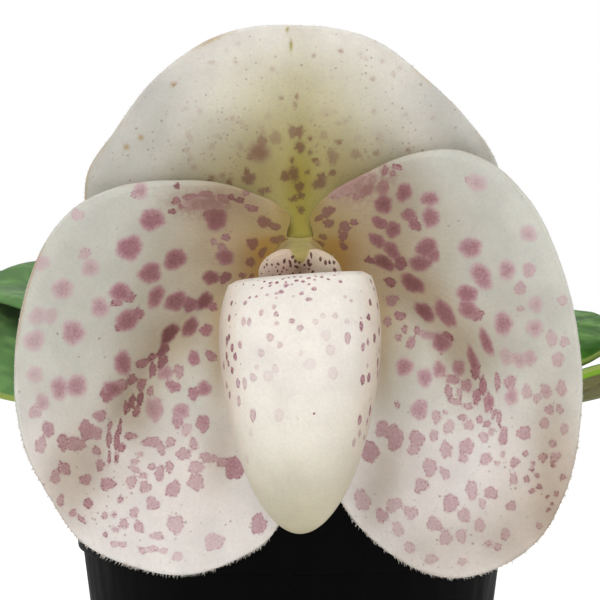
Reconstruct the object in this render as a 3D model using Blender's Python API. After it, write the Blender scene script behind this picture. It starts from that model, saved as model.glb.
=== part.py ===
"""A slipper orchid, Paphiopedilum bellatulum, in flower in a small round nursery pot.

Every piece of the plant is its own solid: the pot, the bark mix, the crown, six leaves, the flower stalk,
its bract, the ovary, and the parts of the one bloom. Metres, +Z up, with the origin at the centre of the
pot's base. The bloom faces -Y. Pieces that touch on the plant are modelled with a gap of about 0.3 mm.
"""

import math
import random
from dataclasses import dataclass

import bmesh
import bpy
import numpy as np
from mathutils import Matrix, Vector

MM = 0.001
TOUCH = 0.3 * MM
SHARP_EDGE_ANGLE = math.radians(40)

# The pot: a three-inch black nursery pot, its wall a little thicker in a band below the rim.
POT_HEIGHT = 72 * MM
POT_TOP_RADIUS = 35.8 * MM
POT_BASE_RADIUS = 26.5 * MM
POT_WALL = 1.3 * MM
POT_FLOOR = 2.0 * MM
POT_SIDES = 48
BAND_HEIGHT = 10.6 * MM
BAND_STEP = 0.8 * MM
POT_EDGE_ROUND = 0.5 * MM
POT_FOOT_ROUND = 1.5 * MM
DRAIN_COUNT = 6
DRAIN_RADIUS = 3.0 * MM
DRAIN_RING_RADIUS = 17 * MM

# The bark mix and the crown that sits in it.
MEDIUM_TOP = 61.5 * MM
MEDIUM_SIDES = 40
CROWN_RADIUS = 10.6 * MM
CROWN_DEPTH = 12 * MM
CROWN_TOP = 63.0 * MM
CHIP_COUNT = 56
CHIP_SEED = 11
CHIP_SMALLEST = Vector((2.4, 1.9, 1.1)) * MM
CHIP_LARGEST = Vector((3.9, 3.0, 1.9)) * MM
GOLDEN_ANGLE = math.radians(137.5)

# The leaves: the blade's thickness, and the shape of its narrow, clasping foot and its round tip.
LEAF_THICKNESS = 1.7 * MM
LEAF_FOOT_WIDTH_SHARE = 0.32
LEAF_FOOT_CHANNEL = 0.40
LEAF_TIP_START = 0.62
LEAF_FOOT_HEIGHT = CROWN_TOP + TOUCH + 0.5 * MM

# The stalk as (y, z) in millimetres: it leans forward over the rim, and sideways to the bloom's own middle.
SCAPE_LINE = ((-5.5, 63.5), (-6.0, 69), (-8.2, 78), (-13.5, 88), (-21.0, 96), (-27, 99.7))
BRACT_LINE = ((-24.5, 98.3), (-27.4, 99.9), (-33, 102.5), (-40, 104.9), (-45, 106.0))
OVARY_LINE = ((-27.9, 100.2), (-33, 102.5), (-40, 104.9), (-47, 106.3), (-52, 106.8), (-55.9, 106.8))
STALK_LEAN_REACH = 40
SCAPE_FOOT_RADIUS = 2.1
SCAPE_TOP_RADIUS = 1.75
OVARY_RADII = (1.6, 1.9, 2.2, 2.45, 2.6, 2.7, 2.7, 2.65, 2.55, 2.45, 2.35, 2.25)
BRACT_THICKNESS = 0.7 * MM
BRACT_FOOT_RADIUS = 2.5
BRACT_TIP_RADIUS = 3.6
BRACT_HALF_TURN = 118

# The bloom's own frame, in millimetres from the column's foot: x to the viewer's right, d away from the
# viewer and h up.
BLOOM_CENTRE = Vector((1.3, -58, 106.8)) * MM
PETAL_THICKNESS = 0.8 * MM
PETAL_FOOT_RADIUS = 3.4
PETAL_FOOT_ANGLES = (-46, 62)
SEPAL_FOOT_RADIUS = 2.2
SEPAL_FOOT_DEPTH = 1.4

# How far each petal reaches from the column, in millimetres, by the angle above the horizontal in degrees.
PETAL_REACH_RIGHT = (
    (-88, 17), (-84, 26), (-80, 32.6), (-74, 39.2), (-66, 45.3), (-58, 47.3),
    (-50, 47.6), (-42, 46.4), (-28, 41.8), (-14, 37.4), (0, 33.9), (16, 30.6),
    (28, 27.8), (37, 24.6), (44, 20.6), (54, 14.6), (66, 10.2), (78, 6.4),
)
PETAL_REACH_LEFT = (
    (-88, 31), (-84.5, 35.6), (-78, 39.9), (-70, 43.8), (-61, 45.9), (-52, 46.8),
    (-44, 45.6), (-34, 43.9), (-21, 40.5), (-8, 36.9), (4, 33.8), (14, 30.4),
    (22, 26.4), (34, 19.6), (44, 15.4), (56, 11.1), (66, 8.9), (78, 6.4),
)
PETAL_LENGTH = 47
PETAL_MIDRIB_ANGLE = -15
PETAL_MIDRIB_TURN = -0.8
PETAL_HOLLOW = 7.2
PETAL_HOLLOW_REACH = 9
PETAL_TIP_SWEEP = 11.0
PETAL_UPPER_CURL = 0.0105
PETAL_LOWER_CURL = 0.0145
PETAL_CREASE_DEPTH = 1.1
PETAL_CREASE_WIDTH = 2.4

# The dorsal sepal's reach by the angle from straight up, towards the viewer's right.
DORSAL_REACH = (
    (-76, 29.6), (-68, 30.8), (-55, 30.9), (-40, 30.7), (-22, 31.5), (0, 31.1),
    (20, 31.0), (34, 29.9), (48, 29.0), (66, 28.6), (76, 27.6),
)
DORSAL_LENGTH = 31
DORSAL_LEAN = 4.5
DORSAL_HOOD = 11.5
SYNSEPAL_LENGTH = 24
SYNSEPAL_LEAN = 9.0
SYNSEPAL_CURL = 3.0

# The pouch: an egg-shaped slipper, its long axis upright. Heights h and depths d are in the bloom's frame.
POUCH_HALF_WIDTH = 10.25
POUCH_WIDEST = -9.5
POUCH_BOTTOM = -34.8
POUCH_RIM = -2.7
POUCH_FRONT = -23.8
POUCH_TOE = -12.2
POUCH_BACK = -1.7
POUCH_SQUARENESS = 2.3
POUCH_RIM_TILT = 0.6
POUCH_MARGIN = 0.06
POUCH_WALL = 0.8 * MM

# The column, as (d, h, radius), and the staminode, the two-lobed shield in front of it.
COLUMN_LINE = (
    (1.8, 0, 1.3), (0.9, 0, 1.8), (0.1, 0, 2.75), (-2.6, -0.2, 2.9), (-4.6, -0.6, 2.6), (-6.2, -1.1, 2.0),
    (-7.4, -1.5, 1.2),
)
SHIELD_HALF_WIDTH = 5.3
SHIELD_DEPTH = -7.2
SHIELD_CENTRE = -1.6
SHIELD_RISE = 3.3
SHIELD_DROP = 4.2
SHIELD_DOME = 1.3
SHIELD_THICKNESS = 0.9 * MM


def finish(name, colour, roughness):
    """A plain material of one colour."""
    material = bpy.data.materials.new(name)
    material.use_nodes = True
    shader = material.node_tree.nodes["Principled BSDF"]
    shader.inputs["Base Color"].default_value = (*colour, 1)
    shader.inputs["Roughness"].default_value = roughness
    shader.inputs["Metallic"].default_value = 0
    return material


def add_object(name, mesh, material):
    """An object of this mesh in the scene, shaded smooth except at its sharp edges."""
    mesh.materials.append(material)
    mesh.shade_smooth()
    mesh.set_sharp_from_angle(angle=SHARP_EDGE_ANGLE)
    made = bpy.data.objects.new(name, mesh)
    bpy.context.scene.collection.objects.link(made)
    return made


def mix(a, b, share):
    """The value this share of the way from a to b."""
    return a + (b - a) * share


def smoothstep(x):
    """0 below 0, 1 above 1, and an even blend between."""
    x = min(max(x, 0.0), 1.0)
    return x * x * (3 - 2 * x)


def polar(angle, radius):
    """(x, h) of a point at this angle above the horizontal, in degrees."""
    return radius * math.cos(math.radians(angle)), radius * math.sin(math.radians(angle))


def in_bloom(x, d, h):
    """A point of the bloom's own frame, in the world."""
    return BLOOM_CENTRE + Vector((x, d, h)) * MM


def reach_at(table, angle):
    """The reach at this angle, on a smooth curve through the table's points."""
    angles = [row[0] for row in table]
    reaches = [row[1] for row in table]
    slopes = np.gradient(reaches, angles)
    i = min(max(int(np.searchsorted(angles, angle)) - 1, 0), len(angles) - 2)
    span = angles[i + 1] - angles[i]
    t = (angle - angles[i]) / span
    start = (2 * t**3 - 3 * t**2 + 1) * reaches[i] + (t**3 - 2 * t**2 + t) * span * slopes[i]
    end = (3 * t**2 - 2 * t**3) * reaches[i + 1] + (t**3 - t**2) * span * slopes[i + 1]
    return start + end


def smooth_line(points, count):
    """count points on a smooth curve through the given ones."""
    given = [Vector(p) for p in points]
    ends = [given[0] * 2 - given[1], *given, given[-1] * 2 - given[-2]]
    line = []
    for k in range(count):
        place = k * (len(given) - 1) / (count - 1)
        i = min(int(place), len(given) - 2)
        t = place - i
        a, b, c, d = ends[i : i + 4]
        bend = (2 * a - 5 * b + 4 * c - d) * t**2 + (3 * b - a - 3 * c + d) * t**3
        line.append(0.5 * (2 * b + (c - a) * t + bend))
    return line


def on_line(line, along):
    """(point, direction) at this share of a line's points."""
    place = along * (len(line) - 1)
    i = min(int(place), len(line) - 2)
    ahead = line[i + 1] - line[i]
    return line[i] + ahead * (place - i), ahead.normalized()


def cleaned(mesh):
    """Joins points that fell on one place and turns every face outwards."""
    bmesh.ops.remove_doubles(mesh, verts=mesh.verts, dist=1e-6)
    bmesh.ops.dissolve_degenerate(mesh, edges=mesh.edges, dist=1e-6)
    bmesh.ops.recalc_face_normals(mesh, faces=mesh.faces)


def blade(name, columns, rows, place, thickness, material, offset=0.0):
    """A thin closed solid about a grid whose points are placed by place(across, along), both from 0 to 1.

    The sheet is split into triangles before it gets its thickness, so both faces are split alike. An offset
    of -1 puts the whole thickness inside the sheet.
    """
    grid = bmesh.new()
    bmesh.ops.create_grid(grid, x_segments=columns, y_segments=rows, size=0.5)
    for vertex in grid.verts:
        vertex.co = place(vertex.co.x + 0.5, vertex.co.y + 0.5)
    cleaned(grid)
    bmesh.ops.triangulate(grid, faces=grid.faces, quad_method="SHORT_EDGE")
    bmesh.ops.recalc_face_normals(grid, faces=grid.faces)
    mesh = bpy.data.meshes.new(name)
    grid.to_mesh(mesh)
    grid.free()
    made = add_object(name, mesh, material)
    wall = made.modifiers.new("Thickness", "SOLIDIFY")
    wall.thickness = thickness
    wall.offset = offset
    wall.use_quality_normals = True


def turned(name, profile, sides, material):
    """A solid of revolution about Z from its (radius, height) profile."""
    mesh = bmesh.new()
    verts = [mesh.verts.new((radius, 0, height)) for radius, height in profile]
    outline = verts + [mesh.edges.new(pair) for pair in zip(verts, verts[1:])]
    axis = (0, 0, 1)
    bmesh.ops.spin(mesh, geom=outline, axis=axis, angle=math.tau, steps=sides, use_merge=True)
    cleaned(mesh)
    made = bpy.data.meshes.new(name)
    mesh.to_mesh(made)
    mesh.free()
    return add_object(name, made, material)


def tube(name, points, radii, material):
    """A round stalk through these points, with a radius in millimetres at each, closed at both ends."""
    line = bpy.data.curves.new(name, "CURVE")
    line.dimensions = "3D"
    line.bevel_depth = MM
    line.bevel_resolution = 3
    line.use_fill_caps = True
    spline = line.splines.new("POLY")
    spline.points.add(len(points) - 1)
    for point, place, radius in zip(spline.points, points, radii):
        point.co = (*place, 1)
        point.radius = radius
    line.materials.append(material)
    bpy.context.scene.collection.objects.link(bpy.data.objects.new(name, line))


def combine(obj, collection, operation):
    """Applies one Boolean with all the collection's objects to the object, and removes them."""
    change = obj.modifiers.new("Boolean", "BOOLEAN")
    change.operand_type = "COLLECTION"
    change.collection = collection
    change.operation = operation
    change.solver = "EXACT"
    bpy.context.view_layer.update()
    evaluated = obj.evaluated_get(bpy.context.evaluated_depsgraph_get())
    baked = bpy.data.meshes.new_from_object(evaluated)
    obj.modifiers.clear()
    obj.data = baked
    for used in list(collection.objects):
        bpy.data.objects.remove(used)
    bpy.data.collections.remove(collection)


def keep_outer_shell(obj):
    """Fills the small pockets that overlapping lumps shut in: only the largest shell of the mesh stays."""
    mesh = bmesh.new()
    mesh.from_mesh(obj.data)
    unseen = set(mesh.verts)
    shells = []
    while unseen:
        shell = {unseen.pop()}
        front = list(shell)
        while front:
            near = {edge.other_vert(v) for v in front for edge in v.link_edges} & unseen
            unseen -= near
            shell |= near
            front = list(near)
        shells.append(shell)
    keep = max(shells, key=len)
    bmesh.ops.delete(mesh, geom=[v for v in mesh.verts if v not in keep], context="VERTS")
    mesh.to_mesh(obj.data)
    mesh.free()


def new_collection(name):
    """An empty collection in the scene."""
    made = bpy.data.collections.new(name)
    bpy.context.scene.collection.children.link(made)
    return made


# The pot


def pot_radius(height):
    """The radius of the pot's outer wall at a height."""
    return mix(POT_BASE_RADIUS, POT_TOP_RADIUS, height / POT_HEIGHT)


def make_pot(material):
    """A tapered pot with a thicker band under its rim and drainage holes in its flat floor."""
    band = POT_HEIGHT - BAND_HEIGHT
    rim = POT_TOP_RADIUS + BAND_STEP
    inner_rim = POT_TOP_RADIUS - POT_WALL
    profile = [
        (rim - POT_EDGE_ROUND, POT_HEIGHT),
        (rim, POT_HEIGHT - POT_EDGE_ROUND),
        (pot_radius(band) + BAND_STEP, band + POT_EDGE_ROUND),
        (pot_radius(band) + BAND_STEP - POT_EDGE_ROUND, band),
        (pot_radius(band), band - POT_EDGE_ROUND),
        (pot_radius(POT_FOOT_ROUND), POT_FOOT_ROUND),
        (POT_BASE_RADIUS - POT_FOOT_ROUND, 0),
        (0, 0),
        (0, POT_FLOOR),
        (pot_radius(POT_FLOOR) - POT_WALL, POT_FLOOR),
        (inner_rim, POT_HEIGHT - POT_EDGE_ROUND),
        (inner_rim + POT_EDGE_ROUND, POT_HEIGHT),
        (rim - POT_EDGE_ROUND, POT_HEIGHT),
    ]
    pot = turned("pot", profile, POT_SIDES, material)
    drills = new_collection("drills")
    for k in range(DRAIN_COUNT):
        angle = math.tau * (k + 0.5) / DRAIN_COUNT
        drill = bmesh.new()
        radii = {"radius1": DRAIN_RADIUS, "radius2": DRAIN_RADIUS}
        bmesh.ops.create_cone(drill, cap_ends=True, segments=14, depth=4 * POT_FLOOR, **radii)
        mesh = bpy.data.meshes.new("drill")
        drill.to_mesh(mesh)
        drill.free()
        cutter = bpy.data.objects.new("drill", mesh)
        ring = Vector((math.cos(angle), math.sin(angle), 0)) * DRAIN_RING_RADIUS
        cutter.location = ring + Vector((0, 0, POT_FLOOR / 2))
        drills.objects.link(cutter)
    combine(pot, drills, "DIFFERENCE")


# The bark mix and the crown


def make_chip(draw, k):
    """One angular lump of bark, on the golden spiral between the crown and the pot's wall."""
    size = Vector([draw.uniform(low, high) for low, high in zip(CHIP_SMALLEST, CHIP_LARGEST)])
    lump = bmesh.new()
    for sx in (-1, 1):
        for sy in (-1, 1):
            for sz in (-1, 1):
                corner = zip((sx, sy, sz), size)
                lump.verts.new([sign * extent * draw.uniform(0.62, 1.0) for sign, extent in corner])
    bmesh.ops.convex_hull(lump, input=lump.verts)
    inner = CROWN_RADIUS + CHIP_LARGEST.x
    outer = pot_radius(MEDIUM_TOP) - POT_WALL - CHIP_LARGEST.x - TOUCH
    radius = math.sqrt(mix(inner**2, outer**2, (k + 0.5) / CHIP_COUNT))
    angle = k * GOLDEN_ANGLE + draw.uniform(-0.2, 0.2)
    rise = draw.uniform(-0.2, 1.1) * MM
    place = Vector((radius * math.cos(angle), radius * math.sin(angle), MEDIUM_TOP + rise))
    turn = Matrix.Rotation(draw.uniform(0, math.tau), 4, "Z")
    tilt = Matrix.Rotation(draw.uniform(-0.5, 0.5), 4, "X")
    mesh = bpy.data.meshes.new("chip")
    lump.to_mesh(mesh)
    lump.free()
    mesh.transform(Matrix.Translation(place) @ turn @ tilt)
    return bpy.data.objects.new("chip", mesh)


def make_medium(material):
    """The bark mix: one body that fills the pot, with lumps of bark on top and a hole for the crown."""
    bottom = POT_FLOOR + TOUCH
    top_radius = pot_radius(MEDIUM_TOP) - POT_WALL - TOUCH
    hole = CROWN_RADIUS + TOUCH
    hole_floor = CROWN_TOP - CROWN_DEPTH - TOUCH
    chamfer = 1 * MM
    profile = [
        (hole, MEDIUM_TOP),
        (top_radius - chamfer, MEDIUM_TOP),
        (top_radius, MEDIUM_TOP - chamfer),
        (pot_radius(bottom) - POT_WALL - 2 * TOUCH, bottom),
        (0, bottom),
        (0, hole_floor),
        (hole, hole_floor),
        (hole, MEDIUM_TOP),
    ]
    medium = turned("growing_medium", profile, MEDIUM_SIDES, material)
    draw = random.Random(CHIP_SEED)
    chips = new_collection("chips")
    for k in range(CHIP_COUNT):
        chips.objects.link(make_chip(draw, k))
    combine(medium, chips, "UNION")
    keep_outer_shell(medium)


def make_crown(material):
    """The short stem, sunk in the bark mix, that the leaves and the stalk stand on."""
    foot = CROWN_TOP - CROWN_DEPTH
    profile = [
        (0, CROWN_TOP),
        (CROWN_RADIUS - 1.5 * MM, CROWN_TOP),
        (CROWN_RADIUS, CROWN_TOP - 1.2 * MM),
        (CROWN_RADIUS, foot + 3 * MM),
        (CROWN_RADIUS - 4 * MM, foot),
        (0, foot),
    ]
    turned("crown", profile, 24, material)


# The leaves


@dataclass(frozen=True)
class Leaf:
    """One strap-shaped leaf: a channelled blade along a spine that rises, swings aside and droops.

    Lengths are in millimetres and angles in degrees. The heading is the compass direction at the foot,
    counted from +X to +Y, and the swing is what the tip's heading adds. The roll turns the blade about its spine.
    Channel and flare shape its cross-section: a groove along the midrib, and margins that bend back down.
    """

    name: str
    foot: tuple
    heading: float
    swing: float
    length: float
    half_width: float
    rise: float
    droop: float
    roll: float
    channel: float
    flare: float

    def heading_at(self, along):
        """The spine's compass direction: the swing comes once the leaf is clear of the crown."""
        return math.radians(self.heading + self.swing * smoothstep(along / 0.7))

    def spine(self, steps=60):
        """The spine's points: its slope falls from the rise at the foot to the droop at the tip."""
        place = Vector((self.foot[0] * MM, self.foot[1] * MM, LEAF_FOOT_HEIGHT))
        step = self.length * MM / steps
        line = [place.copy()]
        for k in range(steps):
            share = (k + 0.5) / steps
            turn = self.heading_at(share)
            slope = math.radians(mix(self.rise, self.droop, share**0.85))
            level = math.cos(slope)
            place += Vector((math.cos(turn) * level, math.sin(turn) * level, math.sin(slope))) * step
            line.append(place.copy())
        return line

    def half_width_at(self, along):
        """Narrow at the foot, widest past the middle and round at the tip."""
        waist = mix(LEAF_FOOT_WIDTH_SHARE, 1.0, smoothstep(along / 0.5))
        past = max((along - LEAF_TIP_START) / (1 - LEAF_TIP_START), 0.0)
        return self.half_width * MM * waist * max(math.sqrt(max(1 - past**2.6, 0.0)), 0.03)

    def build(self, material):
        """The leaf's blade, its points closer together towards the tip."""
        spine = self.spine()

        def place(across, along):
            along = 1 - (1 - along) ** 1.25
            point, ahead = on_line(spine, along)
            turn = self.heading_at(along)
            level = Vector((-math.sin(turn), math.cos(turn), 0))
            roll = math.radians(self.roll) * smoothstep(along / 0.45)
            side = level * math.cos(roll) + ahead.cross(level) * math.sin(roll)
            up = ahead.cross(side)
            v = 2 * across - 1
            half = self.half_width_at(along)
            channel = mix(LEAF_FOOT_CHANNEL, self.channel, smoothstep(along / 0.35))
            flare = self.flare * smoothstep(along / 0.4)
            height = channel * (math.sqrt(v * v + 0.03) - math.sqrt(0.03)) - flare * v * v
            return point + side * (v * half) + up * (height * half)

        blade(self.name, 8, 14, place, LEAF_THICKNESS, material)


LEAVES = (
    Leaf("leaf_left_outer", (-8.8, 0), heading=181, swing=-4, length=112, half_width=17.4,
         rise=71, droop=-28, roll=-31, channel=0.12, flare=0.30),
    Leaf("leaf_left_middle", (-6.2, 0.6), heading=176, swing=-96, length=86, half_width=13,
         rise=88, droop=-28, roll=16, channel=0.30, flare=0.16),
    Leaf("leaf_left_inner", (-3.2, 0.6), heading=179, swing=-2, length=69.4, half_width=13,
         rise=88.5, droop=-2.5, roll=-22, channel=0.27, flare=0.09),
    Leaf("leaf_right_outer", (8.8, 0), heading=-1, swing=3, length=107, half_width=17,
         rise=46.5, droop=-20, roll=-12, channel=0.20, flare=0.06),
    Leaf("leaf_right_middle", (6.2, 0.6), heading=4, swing=22, length=69, half_width=15,
         rise=76, droop=-2, roll=15, channel=0.13, flare=0.24),
    Leaf("leaf_right_inner", (3.6, 0.6), heading=2, swing=40, length=54, half_width=11,
         rise=89, droop=46, roll=-6, channel=0.34, flare=0.10),
)  # fmt: skip


# The stalk, its bract and the ovary


def stalk_line(table, count):
    """count points along a line of the stalk."""
    points = []
    for y, z in table:
        lean = smoothstep((SCAPE_LINE[0][0] - y) / STALK_LEAN_REACH)
        points.append((BLOOM_CENTRE.x * lean, y * MM, z * MM))
    return smooth_line(points, count)


def make_scape(material):
    """The flower stalk, from the crown forward over the pot's rim."""
    count = 14
    radii = [mix(SCAPE_FOOT_RADIUS, SCAPE_TOP_RADIUS, k / (count - 1)) for k in range(count)]
    tube("scape", stalk_line(SCAPE_LINE, count), radii, material)


def make_ovary(material):
    """The ovary, which carries the bloom at the stalk's end."""
    tube("ovary", stalk_line(OVARY_LINE, len(OVARY_RADII)), OVARY_RADII, material)


def make_bract(material):
    """The bract that clasps the joint between the stalk and the ovary and runs along the ovary's top."""
    spine = stalk_line(BRACT_LINE, 30)

    def place(across, along):
        point, ahead = on_line(spine, along)
        down = Vector((1, 0, 0)).cross(ahead)
        taper = max(math.sqrt(max(1 - along**2.4, 0.0)), 0.05)
        turn = (2 * across - 1) * math.radians(BRACT_HALF_TURN) * taper
        radius = mix(BRACT_FOOT_RADIUS, BRACT_TIP_RADIUS, smoothstep(along * 1.1)) * MM
        return point + (Vector((math.sin(turn), 0, 0)) - down * math.cos(turn)) * radius

    blade("floral_bract", 12, 10, place, BRACT_THICKNESS, material)


# The bloom


def petal_depth(angle, radius):
    """How far back a petal's surface lies: hollow along a creased midrib that curves outwards and down."""
    swing = math.radians(angle - (PETAL_MIDRIB_ANGLE + PETAL_MIDRIB_TURN * radius))
    aside = radius * math.sin(max(min(swing, math.pi / 2), -math.pi / 2))
    hollow = PETAL_HOLLOW * (1 - math.exp(-(radius - PETAL_FOOT_RADIUS) / PETAL_HOLLOW_REACH))
    midrib = hollow - PETAL_TIP_SWEEP * (radius / PETAL_LENGTH) ** 4
    curl = (PETAL_UPPER_CURL if aside > 0 else PETAL_LOWER_CURL) * aside**2
    crease = PETAL_CREASE_DEPTH * math.exp(-((aside / PETAL_CREASE_WIDTH) ** 2))
    crease *= smoothstep((radius - 6) / 10) * smoothstep((PETAL_LENGTH - 3 - radius) / 10)
    return 0.2 + midrib * math.cos(swing / 2) ** 2 - curl + crease


def make_petal(name, reach, side, material):
    """One petal, on the viewer's right with side 1 and on the left with side -1."""
    low, high = reach[0][0], reach[-1][0]

    def place(across, along):
        edge_angle = mix(low, high, across)
        radius = mix(PETAL_FOOT_RADIUS, reach_at(reach, edge_angle), along)
        angle = mix(mix(*PETAL_FOOT_ANGLES, across), edge_angle, smoothstep(along / 0.85))
        x, h = polar(angle, radius)
        return in_bloom(side * x, petal_depth(angle, radius), h)

    blade(name, 26, 12, place, PETAL_THICKNESS, material)


def dorsal_depth(angle, radius):
    """How far back the dorsal sepal lies: it leans back, then arches forward as a keeled hood."""
    lean = DORSAL_LEAN * (1 - math.exp(-max(radius - 3.6, 0) / 7))
    hood = DORSAL_HOOD * max(math.cos(math.radians(angle)), 0) ** 1.3 * (radius / DORSAL_LENGTH) ** 3
    aside = radius * math.sin(math.radians(angle))
    keel = 0.5 * math.exp(-((aside / 1.6) ** 2)) * smoothstep((radius - 4) / 8)
    return SEPAL_FOOT_DEPTH + lean - hood + keel


def make_dorsal_sepal(material):
    """The broad sepal behind and above the petals."""
    low, high = DORSAL_REACH[0][0], DORSAL_REACH[-1][0]

    def place(across, along):
        edge_angle = mix(low, high, across)
        angle = edge_angle * mix(0.62, 1.0, smoothstep(along / 0.7))
        radius = mix(SEPAL_FOOT_RADIUS, reach_at(DORSAL_REACH, edge_angle), along)
        x, h = polar(90 - angle, radius)
        return in_bloom(x, dorsal_depth(angle, radius), h)

    blade("dorsal_sepal", 22, 10, place, PETAL_THICKNESS, material)


def make_synsepal(material):
    """The two lower sepals, grown together, behind the lip and the petals."""

    def place(across, along):
        v = 2 * across - 1
        angle = v * mix(38, 46, smoothstep(along / 0.6))
        edge = SYNSEPAL_LENGTH * math.sqrt(1 - 0.34 * v * v)
        radius = mix(SEPAL_FOOT_RADIUS, edge, along)
        lean = SYNSEPAL_LEAN * (1 - math.exp(-max(radius - 3.6, 0) / 6))
        x, h = polar(angle - 90, radius)
        return in_bloom(x, SEPAL_FOOT_DEPTH + lean - SYNSEPAL_CURL * (radius / SYNSEPAL_LENGTH) ** 3, h)

    blade("synsepal", 12, 8, place, PETAL_THICKNESS, material)


def pouch_ring(height):
    """(half width, depth of the front wall, depth of the back wall) of the pouch at a height."""
    if height < POUCH_WIDEST:
        below = (POUCH_WIDEST - height) / (POUCH_WIDEST - POUCH_BOTTOM)
        share = max(1 - below**1.75, 0.0)
        front = mix(POUCH_TOE, POUCH_FRONT, share**0.62)
        back = mix(POUCH_TOE, POUCH_BACK, share**0.55)
        return POUCH_HALF_WIDTH * share**0.52, front, back
    above = (height - POUCH_WIDEST) / (POUCH_RIM - POUCH_WIDEST)
    half = POUCH_HALF_WIDTH * (1 - 0.11 * above**2.2)
    return half, POUCH_FRONT + 2.4 * above**2, POUCH_BACK - 0.2 * above


def pouch_point(turn, along):
    """A point of the pouch's outer surface: along runs from the toe to the rim, turn goes round it."""
    height = mix(POUCH_BOTTOM, POUCH_RIM, math.sin(along * math.pi / 2) ** 1.6)
    half, front, back = pouch_ring(height)
    c, s = math.cos(turn), math.sin(turn)
    stretch = (abs(c) ** POUCH_SQUARENESS + abs(s) ** POUCH_SQUARENESS) ** (-1 / POUCH_SQUARENESS)
    across, deep = c * stretch, s * stretch
    near_rim = smoothstep((height - POUCH_WIDEST) / (POUCH_RIM - POUCH_WIDEST))
    lift = (-0.3 if deep < 0 else -1.0) * deep + POUCH_RIM_TILT * across
    return half * across, mix(front, back, 0.5 + 0.5 * deep), height + lift * near_rim


def make_pouch(material):
    """The lip: a hollow slipper with a wide mouth, its margin turned slightly inwards."""

    def place(across, along):
        margin = max((along - 1 + POUCH_MARGIN) / POUCH_MARGIN, 0.0)
        x, d, h = pouch_point(across * math.tau, min(along / (1 - POUCH_MARGIN), 1.0))
        closing = mix(1, 0.9, margin)
        return in_bloom(x * closing, POUCH_TOE + (d - POUCH_TOE) * closing, h + 0.5 * margin)

    blade("lip_pouch", 26, 13, place, POUCH_WALL, material, offset=-1.0)


def make_column(material):
    """The column: a short stout body from the ovary, thinner between the sepals' feet."""
    line = [in_bloom(0, d, h) for d, h, _ in COLUMN_LINE]
    tube("column", line, [radius for _, _, radius in COLUMN_LINE], material)


def make_staminode(material):
    """The shield in front of the column: two lobes with a raised tongue over the dip between them."""

    def place(across, along):
        turn = across * math.tau
        c, s = math.cos(turn), math.sin(turn)
        tall = SHIELD_RISE if s > 0 else SHIELD_DROP
        dip = 0.22 * math.exp(-(((math.degrees(turn) - 90) / 15) ** 2)) * smoothstep(along)
        x, h = SHIELD_HALF_WIDTH * c * along, tall * s * along * (1 - dip)
        dome = SHIELD_DOME * (1 - along**2)
        tongue = 0.9 * math.exp(-((x / 1.3) ** 2)) * smoothstep((h + 0.2) / 2.2)
        return in_bloom(x, SHIELD_DEPTH - dome - tongue - 0.22 * h, SHIELD_CENTRE + h)

    blade("staminode", 20, 4, place, SHIELD_THICKNESS, material)


def main():
    """Builds the whole plant in an empty scene."""
    for old in list(bpy.data.objects):
        bpy.data.objects.remove(old)
    make_pot(finish("black_plastic", (0.008, 0.008, 0.009), 0.42))
    make_medium(finish("bark", (0.10, 0.055, 0.03), 0.9))
    make_crown(finish("crown_green", (0.18, 0.2, 0.07), 0.6))
    leaf_green = finish("leaf_green", (0.06, 0.16, 0.04), 0.35)
    for leaf in LEAVES:
        leaf.build(leaf_green)
    make_scape(finish("stalk_purple", (0.16, 0.09, 0.07), 0.65))
    make_bract(finish("bract_green", (0.28, 0.3, 0.12), 0.6))
    make_ovary(finish("ovary_green", (0.22, 0.24, 0.1), 0.6))
    petal_white = finish("petal_white", (0.62, 0.58, 0.48), 0.5)
    make_dorsal_sepal(petal_white)
    make_synsepal(petal_white)
    make_petal("petal_right", PETAL_REACH_RIGHT, 1, petal_white)
    make_petal("petal_left", PETAL_REACH_LEFT, -1, petal_white)
    make_pouch(finish("pouch_white", (0.85, 0.8, 0.72), 0.35))
    make_column(finish("column_green", (0.36, 0.33, 0.1), 0.5))
    make_staminode(finish("shield_white", (0.62, 0.5, 0.44), 0.5))


main()
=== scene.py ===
"""The looks of a slipper orchid, Paphiopedilum bellatulum, in flower in its small nursery pot.

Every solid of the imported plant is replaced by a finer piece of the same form: the pot, its bark, the crown,
six leaves, the hairy stalk with its bract and ovary, and the sepals, petals, lip, column and shield of the
one bloom. Sizes are in millimetres unless a name says otherwise, +Z is up, and the bloom faces -Y.
"""

from __future__ import annotations

import logging
import math
import random
from dataclasses import dataclass, field
from enum import Enum

import bmesh
import bpy
import numpy as np
from mathutils import Matrix, Vector

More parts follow.
